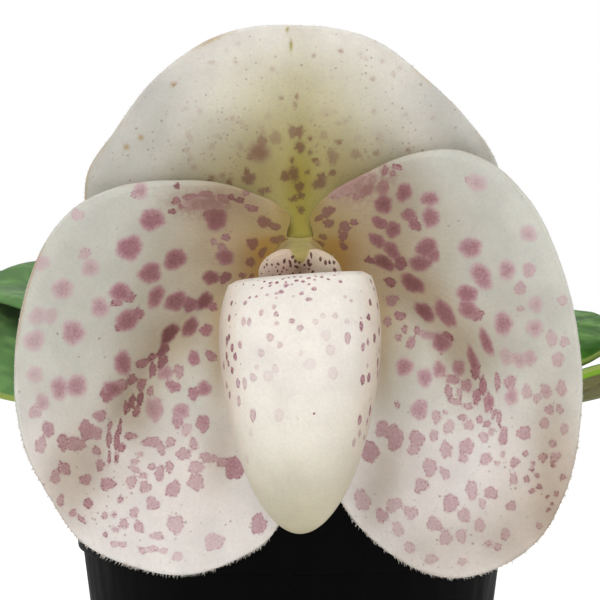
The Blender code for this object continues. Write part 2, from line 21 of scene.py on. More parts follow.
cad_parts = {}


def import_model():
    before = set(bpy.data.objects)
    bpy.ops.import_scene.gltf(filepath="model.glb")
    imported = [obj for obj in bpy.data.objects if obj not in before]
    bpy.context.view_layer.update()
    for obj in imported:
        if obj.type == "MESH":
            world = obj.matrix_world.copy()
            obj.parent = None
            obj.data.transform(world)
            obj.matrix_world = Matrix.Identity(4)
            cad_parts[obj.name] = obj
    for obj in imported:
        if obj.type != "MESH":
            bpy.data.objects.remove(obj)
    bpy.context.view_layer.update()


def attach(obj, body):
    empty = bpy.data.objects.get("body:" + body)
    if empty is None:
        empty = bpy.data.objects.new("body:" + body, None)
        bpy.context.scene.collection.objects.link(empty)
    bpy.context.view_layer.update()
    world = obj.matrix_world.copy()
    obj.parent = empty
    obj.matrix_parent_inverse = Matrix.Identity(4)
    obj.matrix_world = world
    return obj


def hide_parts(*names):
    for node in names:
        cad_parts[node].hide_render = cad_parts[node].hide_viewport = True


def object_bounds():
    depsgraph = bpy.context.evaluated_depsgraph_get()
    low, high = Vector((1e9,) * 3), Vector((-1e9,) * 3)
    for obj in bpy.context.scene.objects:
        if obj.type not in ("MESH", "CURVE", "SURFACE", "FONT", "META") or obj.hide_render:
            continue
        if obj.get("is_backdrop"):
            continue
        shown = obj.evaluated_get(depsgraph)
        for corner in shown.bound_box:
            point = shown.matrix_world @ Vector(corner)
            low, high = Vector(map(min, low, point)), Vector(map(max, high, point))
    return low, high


LOG = logging.getLogger("orchid")
MM = 0.001

Array = np.ndarray
SpotTable = tuple[tuple[float, ...], ...]
Oval = tuple[float, float, float, float, float]
Pair = tuple[float, float]
Pairs = tuple[Pair, ...]
Triple = tuple[float, float, float]
Colour = Triple
Material = bpy.types.Material
Piece = bpy.types.Object
Socket = bpy.types.NodeSocket

MERGE = 1e-6
GOLDEN_ANGLE = math.radians(137.5)
CORNERS = tuple((x, y, z) for x in (-1, 1) for y in (-1, 1) for z in (-1, 1))
FRONT = np.array((0, -1.0, 0))
UP = np.array((0, 0, 1.0))

# The bloom's middle, and the point that it is looked at from: this far in front of it, on this height. In
# that view the petals' feet are this high above the middle.
BLOOM = np.array((1.3, -58.0, 106.8))
VIEW_DISTANCE = 240.0
VIEW_HEIGHT = 101.7
FOOT_UP = 5.1

# Spots of the bloom, as seen from there: (right, up) of the view's centre at the column's distance, half
# length, half width, depth of colour from 0 to 1 and, where a spot is turned, its turn in degrees.
LEFT_SPOTS: SpotTable = (
    (-21.4, 14.7, 1, 1.07, 0.3), (-22.2, 14.3, 0.54, 0.47, 0.25), (-19.9, 10.8, 1.74, 1.34, 0.5, -8),
    (-19.9, 11.6, 1.34, 0.8, 0.4), (-11.2, 11, 1.54, 1.61, 0.66), (-12, 11.5, 0.8, 0.8, 0.6),
    (-22.9, 7.1, 1.81, 1.74, 0.46), (-28.2, 4.4, 1.2, 1.07, 0.22, -20), (-28.9, 6.4, 0.8, 0.74, 0.16),
    (-34.7, 5, 1.07, 0.94, 0.12), (-29.9, 11.5, 0.8, 0.8, 0.09), (-16.7, 5.5, 1.61, 1.27, 0.66, 48),
    (-20.1, 3.7, 1.67, 1.34, 0.52, 25), (-9.9, 5.8, 1.34, 1, 0.6, 10), (-31.9, 1.5, 1.47, 1.34, 0.24),
    (-24.1, 1.1, 1.41, 1.34, 0.5), (-22.8, 0.4, 0.8, 0.67, 0.42), (-24.6, -0.3, 0.8, 0.54, 0.42),
    (-26.9, -0.9, 1.2, 1.34, 0.3), (-19.3, 0.5, 1.61, 1, 0.52, 62), (-23.2, -2.7, 1.74, 1.34, 0.52, 25),
    (-21.8, -1.9, 0.94, 0.74, 0.48, 30), (-24, -3.5, 0.8, 0.67, 0.48), (-35.3, -2.1, 1.2, 1.07, 0.13),
    (-35.7, -5.4, 1.47, 1.41, 0.2), (-33.6, -2, 0.94, 0.94, 0.1), (-30.5, -4.3, 1.54, 1.67, 0.33),
    (-16.6, -0.1, 1.61, 1.14, 0.66, 25), (-14.7, -0.5, 0.94, 1, 0.7), (-12.7, 0, 1.6, 0.9, 0.95, 52),
    (-11.6, -0.8, 1, 0.6, 0.55, -20), (-11.8, 3.1, 1.2, 0.87, 0.85, 15), (-9.8, 3.1, 1.14, 0.6, 0.82, 38),
    (-17.5, -4.4, 1.61, 0.94, 0.97, 50), (-18.3, -6.7, 1.14, 0.67, 0.86, 65),
    (-14.6, -3.6, 1.54, 1, 0.76, 60), (-12.4, -4.1, 0.94, 0.8, 0.52), (-23.8, -8.4, 1.14, 1.54, 0.52),
    (-14.1, -7.8, 0.8, 1, 0.48), (-11.8, -7.5, 1.07, 0.54, 0.4, -35), (-35.7, -10, 1.14, 1.07, 0.15),
    (-21.2, -8.4, 1.07, 0.6, 0.45, 10), (-19.7, -7.5, 0.67, 0.54, 0.5), (-19.7, -9.4, 0.54, 1.07, 0.58),
    (-18.3, -8.4, 0.94, 0.67, 0.7, 60), (-17.9, -9.9, 1.07, 0.94, 0.36), (-16.1, -9.6, 0.67, 0.87, 0.3),
    (-22.6, -10.6, 0.8, 0.67, 0.46), (-21.2, -11.4, 0.67, 0.8, 0.48), (-4.6, 10.4, 1.07, 0.67, 0.75, -30),
    (-3.3, 9.8, 1.07, 0.4, 0.7, -22), (-6.2, 7.5, 0.74, 0.8, 0.8), (-4.8, 6.4, 0.8, 0.43, 0.9, 42),
    (-2.9, 8, 1, 0.54, 0.75, 5), (-6.4, 5.1, 0.67, 0.6, 0.72), (-7.6, 3.3, 0.54, 0.4, 0.6),
    (-6.3, 3.2, 0.4, 0.4, 0.62), (-9.8, 8.4, 0.54, 0.47, 0.4), (-11.5, 7.9, 0.4, 0.4, 0.25),
    (-10.4, 7.1, 0.54, 0.54, 0.3), (-12.7, 13, 3.21, 1, 0.24), (-14.7, 13.8, 0.94, 0.54, 0.42),
    (-12.6, 14.1, 1.2, 0.6, 0.42), (-16.6, 13.4, 0.54, 0.47, 0.5), (-17.1, 12, 0.43, 0.4, 0.52),
    (-15.9, 12.6, 0.4, 0.4, 0.45), (-10.4, 13.5, 0.8, 0.67, 0.36), (-8, 13.4, 0.67, 0.35, 0.7, 8),
    (-9.1, 13.9, 0.4, 0.32, 0.6), (-16.5, 15.3, 0.35, 0.32, 0.85), (-6.3, 12.3, 0.94, 0.4, 0.42, -12),
    (-7.2, 14.3, 0.54, 0.33, 0.3), (-32.4, -11.8, 1.2, 1.47, 0.34), (-30.1, -11.5, 1.47, 1.47, 0.34),
    (-25.2, -11.9, 1.47, 1.14, 0.52, 10), (-26, -12.7, 0.8, 0.94, 0.52), (-23.8, -11.2, 0.8, 0.67, 0.36),
    (-34.7, -13.7, 0.94, 1.07, 0.26), (-35.7, -15, 0.8, 0.94, 0.23), (-33.9, -17.4, 0.87, 1, 0.37),
    (-28.6, -17.5, 1.14, 1.27, 0.42), (-27.4, -17.9, 0.8, 0.8, 0.36), (-34.9, -19.5, 0.74, 1, 0.26),
    (-31.9, -19.1, 0.7, 1.07, 0.42), (-30.1, -19.4, 1.07, 1.07, 0.36), (-27, -15.5, 0.87, 0.74, 0.37),
    (-27.4, -20.2, 0.8, 0.54, 0.36, -20), (-26.9, -22.2, 0.54, 0.8, 0.37),
    (-31.6, -22.6, 1.07, 0.67, 0.42, -60), (-32.9, -23.7, 0.67, 0.87, 0.36),
    (-28.8, -24.1, 0.94, 0.74, 0.42, 20), (-25.8, -24.8, 0.94, 0.94, 0.44), (-28.5, -27.4, 0.54, 0.74, 0.5),
    (-32.1, -26.9, 0.4, 0.8, 0.32), (-30.5, -28.6, 0.43, 0.6, 0.4), (-29.3, -29.5, 0.74, 0.4, 0.42, -42),
    (-19.4, -14.7, 1.14, 1.67, 0.31), (-15.8, -14.9, 1.07, 1, 0.39), (-16.3, -16.2, 0.74, 0.94, 0.39),
    (-15.1, -17.4, 0.67, 0.8, 0.18), (-12.9, -16.6, 0.94, 1.14, 0.44), (-16.9, -11.6, 1, 0.74, 0.46, -25),
    (-14.2, -12.6, 0.67, 0.94, 0.44), (-12.7, -11.9, 0.94, 1, 0.46), (-19.7, -19.1, 1.34, 0.74, 0.36, -5),
    (-18.5, -20.1, 0.47, 0.8, 0.32, 15), (-17.3, -19.1, 0.67, 0.6, 0.3), (-14.1, -19.4, 0.6, 0.74, 0.3),
    (-15.5, -20.7, 0.94, 0.8, 0.34), (-12.2, -21.2, 1.2, 0.67, 0.3, -10), (-10.3, -21.8, 0.8, 0.67, 0.36),
    (-8.6, -22.6, 1.47, 1.47, 0.52), (-13.8, -22.5, 1, 0.87, 0.28), (-13.8, -24.5, 1.07, 1.14, 0.32),
    (-19.8, -22.4, 0.54, 0.47, 0.3), (-18.7, -23.3, 0.6, 1.07, 0.36), (-17.4, -22.4, 0.47, 0.8, 0.36),
    (-20.7, -25.2, 0.8, 0.8, 0.33), (-22.6, -24.5, 0.67, 0.8, 0.3), (-16.9, -25.4, 1, 1.07, 0.37),
    (-19.7, -27.4, 0.94, 0.87, 0.36, -40), (-24, -26.8, 0.4, 0.54, 0.4), (-22.2, -28.6, 0.6, 0.67, 0.32),
    (-23.6, -30.1, 0.54, 0.67, 0.32), (-24.8, -30.8, 0.54, 0.4, 0.3), (-21.6, -30.4, 1, 0.6, 0.36, -60),
    (-16.6, -30.1, 1.07, 1.27, 0.26), (-19.1, -31.7, 0.94, 0.6, 0.26, -10), (-11.4, -32.5, 1.27, 1.2, 0.21),
    (-5.4, -30.1, 1.07, 1.34, 0.42), (-24.8, -32.8, 0.54, 0.4, 0.22), (-23.8, -32.9, 0.67, 0.4, 0.26),
    (-21.2, -33.6, 0.74, 0.4, 0.26, -40), (-19.7, -33.5, 0.67, 0.47, 0.26), (-16.3, -34.5, 0.67, 0.67, 0.12),
    (-18.3, -33.7, 0.54, 0.4, 0.13), (-22.1, -22.8, 0.8, 0.35, 0.27, -25),
    (-20.9, -23.6, 0.54, 0.4, 0.27, 10), (-21.4, -20.7, 0.46, 0.35, 0.25), (-22.4, -13.7, 0.43, 1.07, 0.6),
    (-21.3, -13.3, 0.43, 1, 0.72), (-23.3, -14.5, 0.43, 0.8, 0.5), (-21.8, -15, 0.46, 0.8, 0.5),
    (-24.1, -17.1, 0.32, 1.2, 0.5), (-24.5, -19, 0.43, 1.2, 0.58), (-25.7, -18.7, 0.35, 1.07, 0.45),
    (-23.8, -19.9, 0.54, 0.6, 0.5), (-24.5, -21.4, 0.32, 0.74, 0.6), (-25.6, -21.2, 0.29, 0.94, 0.48),
    (-22.6, -18.3, 0.8, 0.54, 0.42), (-25.6, -16.9, 0.32, 0.8, 0.36), (-19.9, -12.3, 0.4, 0.67, 0.35),
    (-26.2, -29, 0.35, 0.46, 0.3), (-25, -28.9, 0.4, 0.4, 0.4), (-26.1, -31.6, 0.27, 0.32, 0.4),
    (-22.1, -21.7, 0.54, 0.4, 0.2),
)  # fmt: skip
RIGHT_SPOTS: SpotTable = (
    (23.8, 15.8, 1.27, 1.14, 0.2), (22.9, 16.1, 0.67, 0.54, 0.18), (13.9, 14.5, 0.94, 1.27, 0.66, -10),
    (11.1, 12.9, 1.07, 1.34, 0.78), (11.1, 15.1, 0.74, 1.07, 0.48), (8.8, 15, 0.87, 1.07, 0.56),
    (8.6, 16.2, 0.67, 0.54, 0.48), (17.4, 13.7, 1.14, 1.07, 0.5), (17.5, 11.2, 1.14, 1.47, 0.5),
    (14.6, 11.5, 1, 0.8, 0.56), (15.4, 10.2, 1.07, 0.67, 0.6, -50), (10.6, 10.4, 1.14, 0.74, 0.7, -20),
    (12.4, 9.5, 1, 1, 0.76), (10.2, 8, 1.27, 0.8, 0.7, -30), (17, 7, 1.41, 1.47, 0.6),
    (17.8, 6.2, 0.8, 1.2, 0.55), (16.1, 5, 1.47, 1.14, 0.66), (12.2, 6.7, 1.47, 0.87, 0.7, -45),
    (13.4, 5, 0.94, 0.8, 0.8, -45), (11.1, 5.1, 1.67, 0.87, 1, -28), (9.2, 5.4, 0.8, 0.48, 0.9, -25),
    (15, 2.3, 1.74, 1.07, 0.86, -35), (12, 2.5, 0.87, 0.54, 0.7, -35), (22.9, 7.1, 1.54, 1.47, 0.43),
    (24.4, 3.3, 1.87, 1.34, 0.43, -55), (27.8, 4.1, 1.07, 1.34, 0.36), (30.8, 4.1, 0.87, 0.94, 0.26),
    (30.7, 9, 1.14, 1, 0.22), (22.4, 0.9, 1.4, 1.3, 0.56), (22.6, -1.2, 1.54, 1.2, 0.52, -30),
    (23.8, -1.9, 0.8, 0.8, 0.5), (29.6, 1.6, 0.74, 0.87, 0.26), (31.7, -0.5, 1, 1, 0.23),
    (16.7, -1.5, 1.67, 0.87, 0.92, -48), (19.4, -1.7, 2.21, 1, 0.62, -58), (19, -5.6, 1.41, 1.34, 0.56),
    (19.8, -4.8, 0.8, 0.54, 0.66, -40), (25, -5.6, 1.87, 0.74, 0.58, -66), (27.3, -3.1, 1.14, 1.67, 0.43),
    (31.6, -3.7, 1.27, 1.07, 0.26), (23.3, -8.3, 2.07, 0.64, 0.64, -74), (33.9, -5.1, 0.67, 1.07, 0.16),
    (35.6, -5.6, 0.74, 0.67, 0.16), (34.7, -8, 0.74, 1, 0.21), (35.2, 0, 0.54, 0.67, 0.1),
    (27.7, -7.6, 0.8, 1.07, 0.2), (29.5, -8, 1.07, 0.94, 0.26), (30.9, -7.8, 0.8, 1.07, 0.26),
    (29.7, -1.1, 0.54, 0.4, 0.1), (3.6, 11.8, 1, 0.67, 0.8, 45), (2.5, 11, 0.67, 0.32, 0.75, 30),
    (3.7, 10.2, 0.67, 0.54, 0.7), (5.9, 9.8, 0.8, 0.67, 0.6), (5.6, 8.6, 0.67, 0.6, 0.66),
    (7.1, 10.4, 0.54, 0.33, 0.6), (2.9, 8.4, 0.47, 0.37, 0.7), (2.7, 7.4, 0.47, 0.27, 0.9, -10),
    (5.6, 7.2, 0.8, 0.37, 0.92, -38), (12.2, 0.1, 0.94, 0.74, 0.4, 10), (13.3, -2.1, 0.8, 0.67, 0.46),
    (11.5, -2.9, 0.54, 0.67, 0.36), (13.8, -4, 0.67, 0.4, 0.36, 60), (13, -5, 0.48, 0.48, 0.3),
    (14.7, -5.8, 1.07, 0.6, 0.42, 60), (15.7, -4.1, 0.54, 0.67, 0.38), (16.9, -4.6, 1.2, 0.67, 0.3),
    (13.9, -9, 1.2, 1.2, 0.46), (18.5, -9.4, 0.94, 1.14, 0.44), (21.3, -9.1, 0.8, 1.2, 0.46),
    (7, 16.1, 1.14, 0.6, 0.44, 20), (6, 14.7, 0.8, 0.67, 0.4), (4.7, 14.1, 0.67, 0.54, 0.34),
    (7.6, 13.9, 0.67, 0.4, 0.4), (3.6, 14.1, 0.4, 0.4, 0.34), (11.4, 17.4, 0.4, 0.54, 0.5, -20),
    (13, 17.9, 0.6, 0.37, 0.46, -30), (12.4, 17, 0.35, 0.4, 0.36), (6.7, 15.3, 3.48, 1.07, 0.2, 22),
    (16.6, -10.4, 1.07, 1.2, 0.42), (20.3, -10.7, 1.07, 0.6, 0.4), (22.4, -11.4, 0.8, 0.87, 0.42),
    (23.6, -9.5, 0.59, 0.94, 0.7), (24.6, -11.5, 0.43, 1.34, 0.6), (23.8, -12.9, 0.6, 1.07, 0.52, -10),
    (25.4, -13.7, 0.6, 1.34, 0.56), (26.5, -11, 0.37, 1.2, 0.4), (19.7, -12.3, 0.48, 0.94, 0.38, 10),
    (20.7, -13.7, 0.94, 0.46, 0.3, -10), (21.3, -12.6, 0.4, 0.67, 0.28), (28.2, -11, 0.74, 0.94, 0.36, -20),
    (28.4, -12.9, 0.87, 1.14, 0.36), (30.5, -12.3, 0.67, 0.94, 0.22), (33.1, -12.2, 1.07, 0.74, 0.31, -50),
    (31.9, -13.1, 0.54, 0.67, 0.2), (35.2, -11.8, 0.67, 1, 0.26), (15.9, -14.7, 1.14, 1.34, 0.4),
    (18.2, -15.7, 0.62, 0.8, 0.26), (33.5, -14.7, 0.67, 0.67, 0.31), (34.9, -14.6, 0.48, 0.67, 0.26),
    (32.8, -16.5, 0.74, 0.74, 0.31), (35.6, -17.3, 0.54, 0.67, 0.2), (30.1, -17.9, 0.87, 1, 0.4),
    (27.4, -18.3, 0.56, 1.14, 0.44, -15), (24.6, -18.5, 0.67, 0.8, 0.28), (22.5, -16.9, 0.8, 0.6, 0.3, 20),
    (19.9, -17.1, 0.67, 0.94, 0.22, -20), (17.9, -18.2, 0.6, 0.8, 0.31), (15.5, -18.7, 1.07, 1.07, 0.4),
    (15.1, -20.1, 0.8, 0.67, 0.36), (19.5, -20.1, 0.74, 1.2, 0.33), (22.2, -19.7, 1.14, 0.87, 0.4, 60),
    (21.8, -21.2, 0.54, 0.67, 0.36), (11.1, -17.4, 1.07, 1.2, 0.42), (12.6, -18.5, 1.14, 1.61, 0.44),
    (9.1, -20.3, 1.34, 1.47, 0.5), (24.9, -21.4, 0.94, 0.74, 0.37, 35), (17.3, -22.5, 0.94, 1.14, 0.36),
    (19.3, -23.3, 0.62, 0.8, 0.33, 20), (16.2, -24.8, 0.87, 0.87, 0.4), (15.8, -25.6, 0.4, 0.54, 0.36),
    (28.9, -21.8, 0.54, 0.67, 0.42), (32.7, -21.2, 0.54, 0.67, 0.4), (34.4, -21, 0.67, 0.67, 0.32),
    (34, -19.3, 0.54, 0.54, 0.3), (28.8, -24.1, 0.46, 0.8, 0.34), (30.5, -24.1, 0.4, 0.46, 0.5),
    (31.3, -25.8, 0.46, 0.37, 0.55, -40), (31.9, -23.6, 0.35, 0.4, 0.5), (32.3, -25.2, 0.27, 0.54, 0.6, 35),
    (35.3, -23.8, 0.47, 0.4, 0.44), (20.1, -27.3, 1, 1.27, 0.42), (23, -25.6, 0.74, 1.34, 0.36),
    (25.6, -26, 0.87, 0.87, 0.42), (24.4, -27.4, 0.4, 0.67, 0.2), (28.5, -27.8, 0.8, 0.67, 0.42),
    (8.2, -26.9, 1.14, 1.34, 0.34), (12.4, -27.6, 1.2, 0.87, 0.3, 42), (10.8, -29, 0.8, 1, 0.44),
    (14.7, -28.6, 0.87, 0.94, 0.3), (22, -29, 0.74, 1.07, 0.37), (17.9, -30.1, 0.94, 1.07, 0.37),
    (24.1, -30.3, 0.74, 0.94, 0.32), (27.6, -31.5, 0.6, 0.8, 0.34), (19.5, -32, 0.87, 1.07, 0.3),
    (21.6, -31.7, 0.67, 0.94, 0.26), (25.2, -32.8, 0.54, 0.54, 0.32), (26.6, -33.3, 0.46, 0.54, 0.3),
    (14.6, -33.3, 0.67, 0.8, 0.22), (13, -30.8, 0.8, 0.94, 0.2), (17.5, -34.8, 0.8, 0.67, 0.15),
    (21.7, -35.1, 0.67, 0.54, 0.1), (32.1, -30.3, 0.8, 0.4, 0.32, -30), (34, -22, 0.27, 0.48, 0.6, 20),
    (31.1, -22.8, 0.32, 0.27, 0.55), (33.2, -26.4, 0.24, 0.27, 0.6), (33.9, -27.4, 0.24, 0.29, 0.8),
    (33.3, -28.1, 0.24, 0.27, 0.6), (34.4, -26, 0.27, 0.32, 0.5), (30.3, -20.7, 0.32, 0.4, 0.44),
    (31.3, -22, 0.4, 0.32, 0.4, -30), (27.3, -20.7, 0.4, 0.4, 0.2), (26.6, -22, 0.35, 0.4, 0.2),
    (12.9, -14.1, 0.35, 0.54, 0.36), (21.6, -15.8, 0.54, 0.4, 0.34), (24.1, -16.1, 0.4, 0.67, 0.42, -20),
    (25.2, -16.6, 0.67, 0.4, 0.4, 35), (26.1, -15.3, 0.32, 0.67, 0.42, -15), (26.8, -15.8, 0.29, 1.07, 0.44),
    (22.4, -14.3, 0.62, 0.46, 0.3), (19.3, -15.1, 0.4, 0.27, 0.3), (25.7, -17.7, 0.67, 0.4, 0.3, 30),
)  # fmt: skip
DORSAL_SPOTS: SpotTable = (
    (-5.5, 19.8, 1.34, 1.34, 0.46), (-5.1, 21.2, 0.67, 0.94, 0.4), (-6.3, 19.4, 0.8, 0.67, 0.42),
    (-3.3, 21.8, 0.67, 0.87, 0.28), (-1.1, 22.6, 0.54, 0.8, 0.4), (-0.1, 22.6, 0.6, 0.8, 0.46),
    (0, 20.5, 0.8, 0.74, 0.6), (-6.8, 16.2, 0.87, 0.74, 0.52), (-7.1, 17.1, 0.4, 0.6, 0.6),
    (-2, 16.5, 0.6, 0.74, 0.6), (-0.9, 16.9, 0.8, 0.94, 0.7), (-0.1, 15.1, 0.6, 0.67, 0.85),
    (0.1, 13.9, 0.56, 0.46, 0.85), (-0.9, 13.4, 0.6, 0.4, 0.72), (0.1, 11.9, 0.48, 0.54, 0.8),
    (1.1, 17, 0.32, 0.29, 0.6), (2.7, 15.7, 1.07, 0.67, 0.5, 45), (2.9, 16.6, 0.4, 0.4, 0.5),
    (4.4, 19.1, 0.67, 0.94, 0.32), (5.1, 21.2, 0.46, 0.29, 0.4), (3.2, 22.1, 0.54, 0.54, 0.2),
    (7.5, 19.5, 0.67, 0.54, 0.28), (4.4, 17, 0.4, 0.4, 0.46), (2.1, 18.7, 0.35, 0.32, 0.5),
    (1.5, 21.7, 0.27, 0.27, 0.6), (1.5, 19.8, 0.27, 0.4, 0.4), (2.5, 18.3, 0.27, 0.4, 0.4),
    (10.2, 19.7, 0.4, 0.32, 0.3), (-1.1, 18.7, 0.35, 0.4, 0.6), (-0.5, 27.3, 0.27, 0.35, 0.4),
    (-0.7, 26.2, 0.24, 0.4, 0.3), (-2.6, 27.2, 0.19, 0.21, 1), (-11.8, 16.3, 0.48, 0.4, 0.4),
    (-9.4, 15.9, 0.32, 0.46, 0.5), (-4.3, 14.7, 0.46, 0.32, 0.45), (-5.1, 14.5, 0.4, 0.4, 0.4),
    (-14.9, 22, 0.32, 0.8, 0.2, 20), (-15.1, 20.2, 0.32, 0.32, 0.25), (-14.7, 19.1, 0.32, 0.4, 0.2),
    (-11.8, 20.7, 0.4, 0.4, 0.2), (-8, 20.7, 0.4, 0.67, 0.16, 20), (-9.1, 24.4, 0.35, 0.24, 0.22),
    (-8.4, 24.1, 0.32, 0.24, 0.22), (-7.8, 23.8, 0.24, 0.27, 0.2), (-7.4, 23.3, 0.27, 0.24, 0.24),
    (-11.9, 24, 0.27, 0.24, 0.2), (9.8, 29.7, 0.24, 0.21, 0.3), (12.6, 30.4, 0.27, 0.35, 0.25, 20),
    (13.3, 31.2, 0.27, 0.27, 0.2), (11.1, 32.1, 0.27, 0.27, 0.2), (8.2, 33.2, 0.27, 0.27, 0.2),
    (8.8, 32.5, 0.24, 0.24, 0.2), (5.4, 33.5, 0.21, 0.24, 0.4), (1.9, 32.9, 0.19, 0.21, 0.3),
    (-3.7, 31.1, 0.46, 0.32, 0.2, 40), (5.2, 23.7, 0.4, 0.27, 0.2, -20), (4.7, 25.4, 0.24, 0.21, 0.2),
    (9.9, 25.3, 0.27, 0.27, 0.2), (14.5, 20.1, 0.24, 0.29, 0.36), (17.9, 24.5, 0.32, 0.27, 0.2),
    (14.1, 24.9, 0.27, 0.27, 0.2), (6.2, 24.1, 0.27, 0.27, 0.2), (7.8, 21.8, 0.46, 0.4, 0.15),
    (10.7, 21.7, 0.54, 0.67, 0.14), (3.6, 25.2, 0.94, 0.67, 0.1), (1.6, 24.2, 0.4, 0.27, 0.15),
    (-16.9, 29.2, 0.35, 0.27, 0.3), (-5, 22.5, 0.4, 0.54, 0.18), (-4.3, 24.8, 0.35, 0.46, 0.14),
    (-11.8, 32, 0.4, 0.27, 0.2), (-8.6, 32, 0.27, 0.27, 0.22), (-8.3, 34.4, 0.24, 0.27, 0.2),
    (-9.8, 33.5, 0.24, 0.27, 0.2), (-11.2, 22, 0.4, 0.27, 0.16), (-10.4, 16.6, 0.4, 0.32, 0.3),
    (-14.2, 17.8, 0.4, 0.32, 0.2), (-13.4, 25.4, 0.27, 0.4, 0.18), (-15.3, 25.8, 0.4, 0.27, 0.15),
)  # fmt: skip
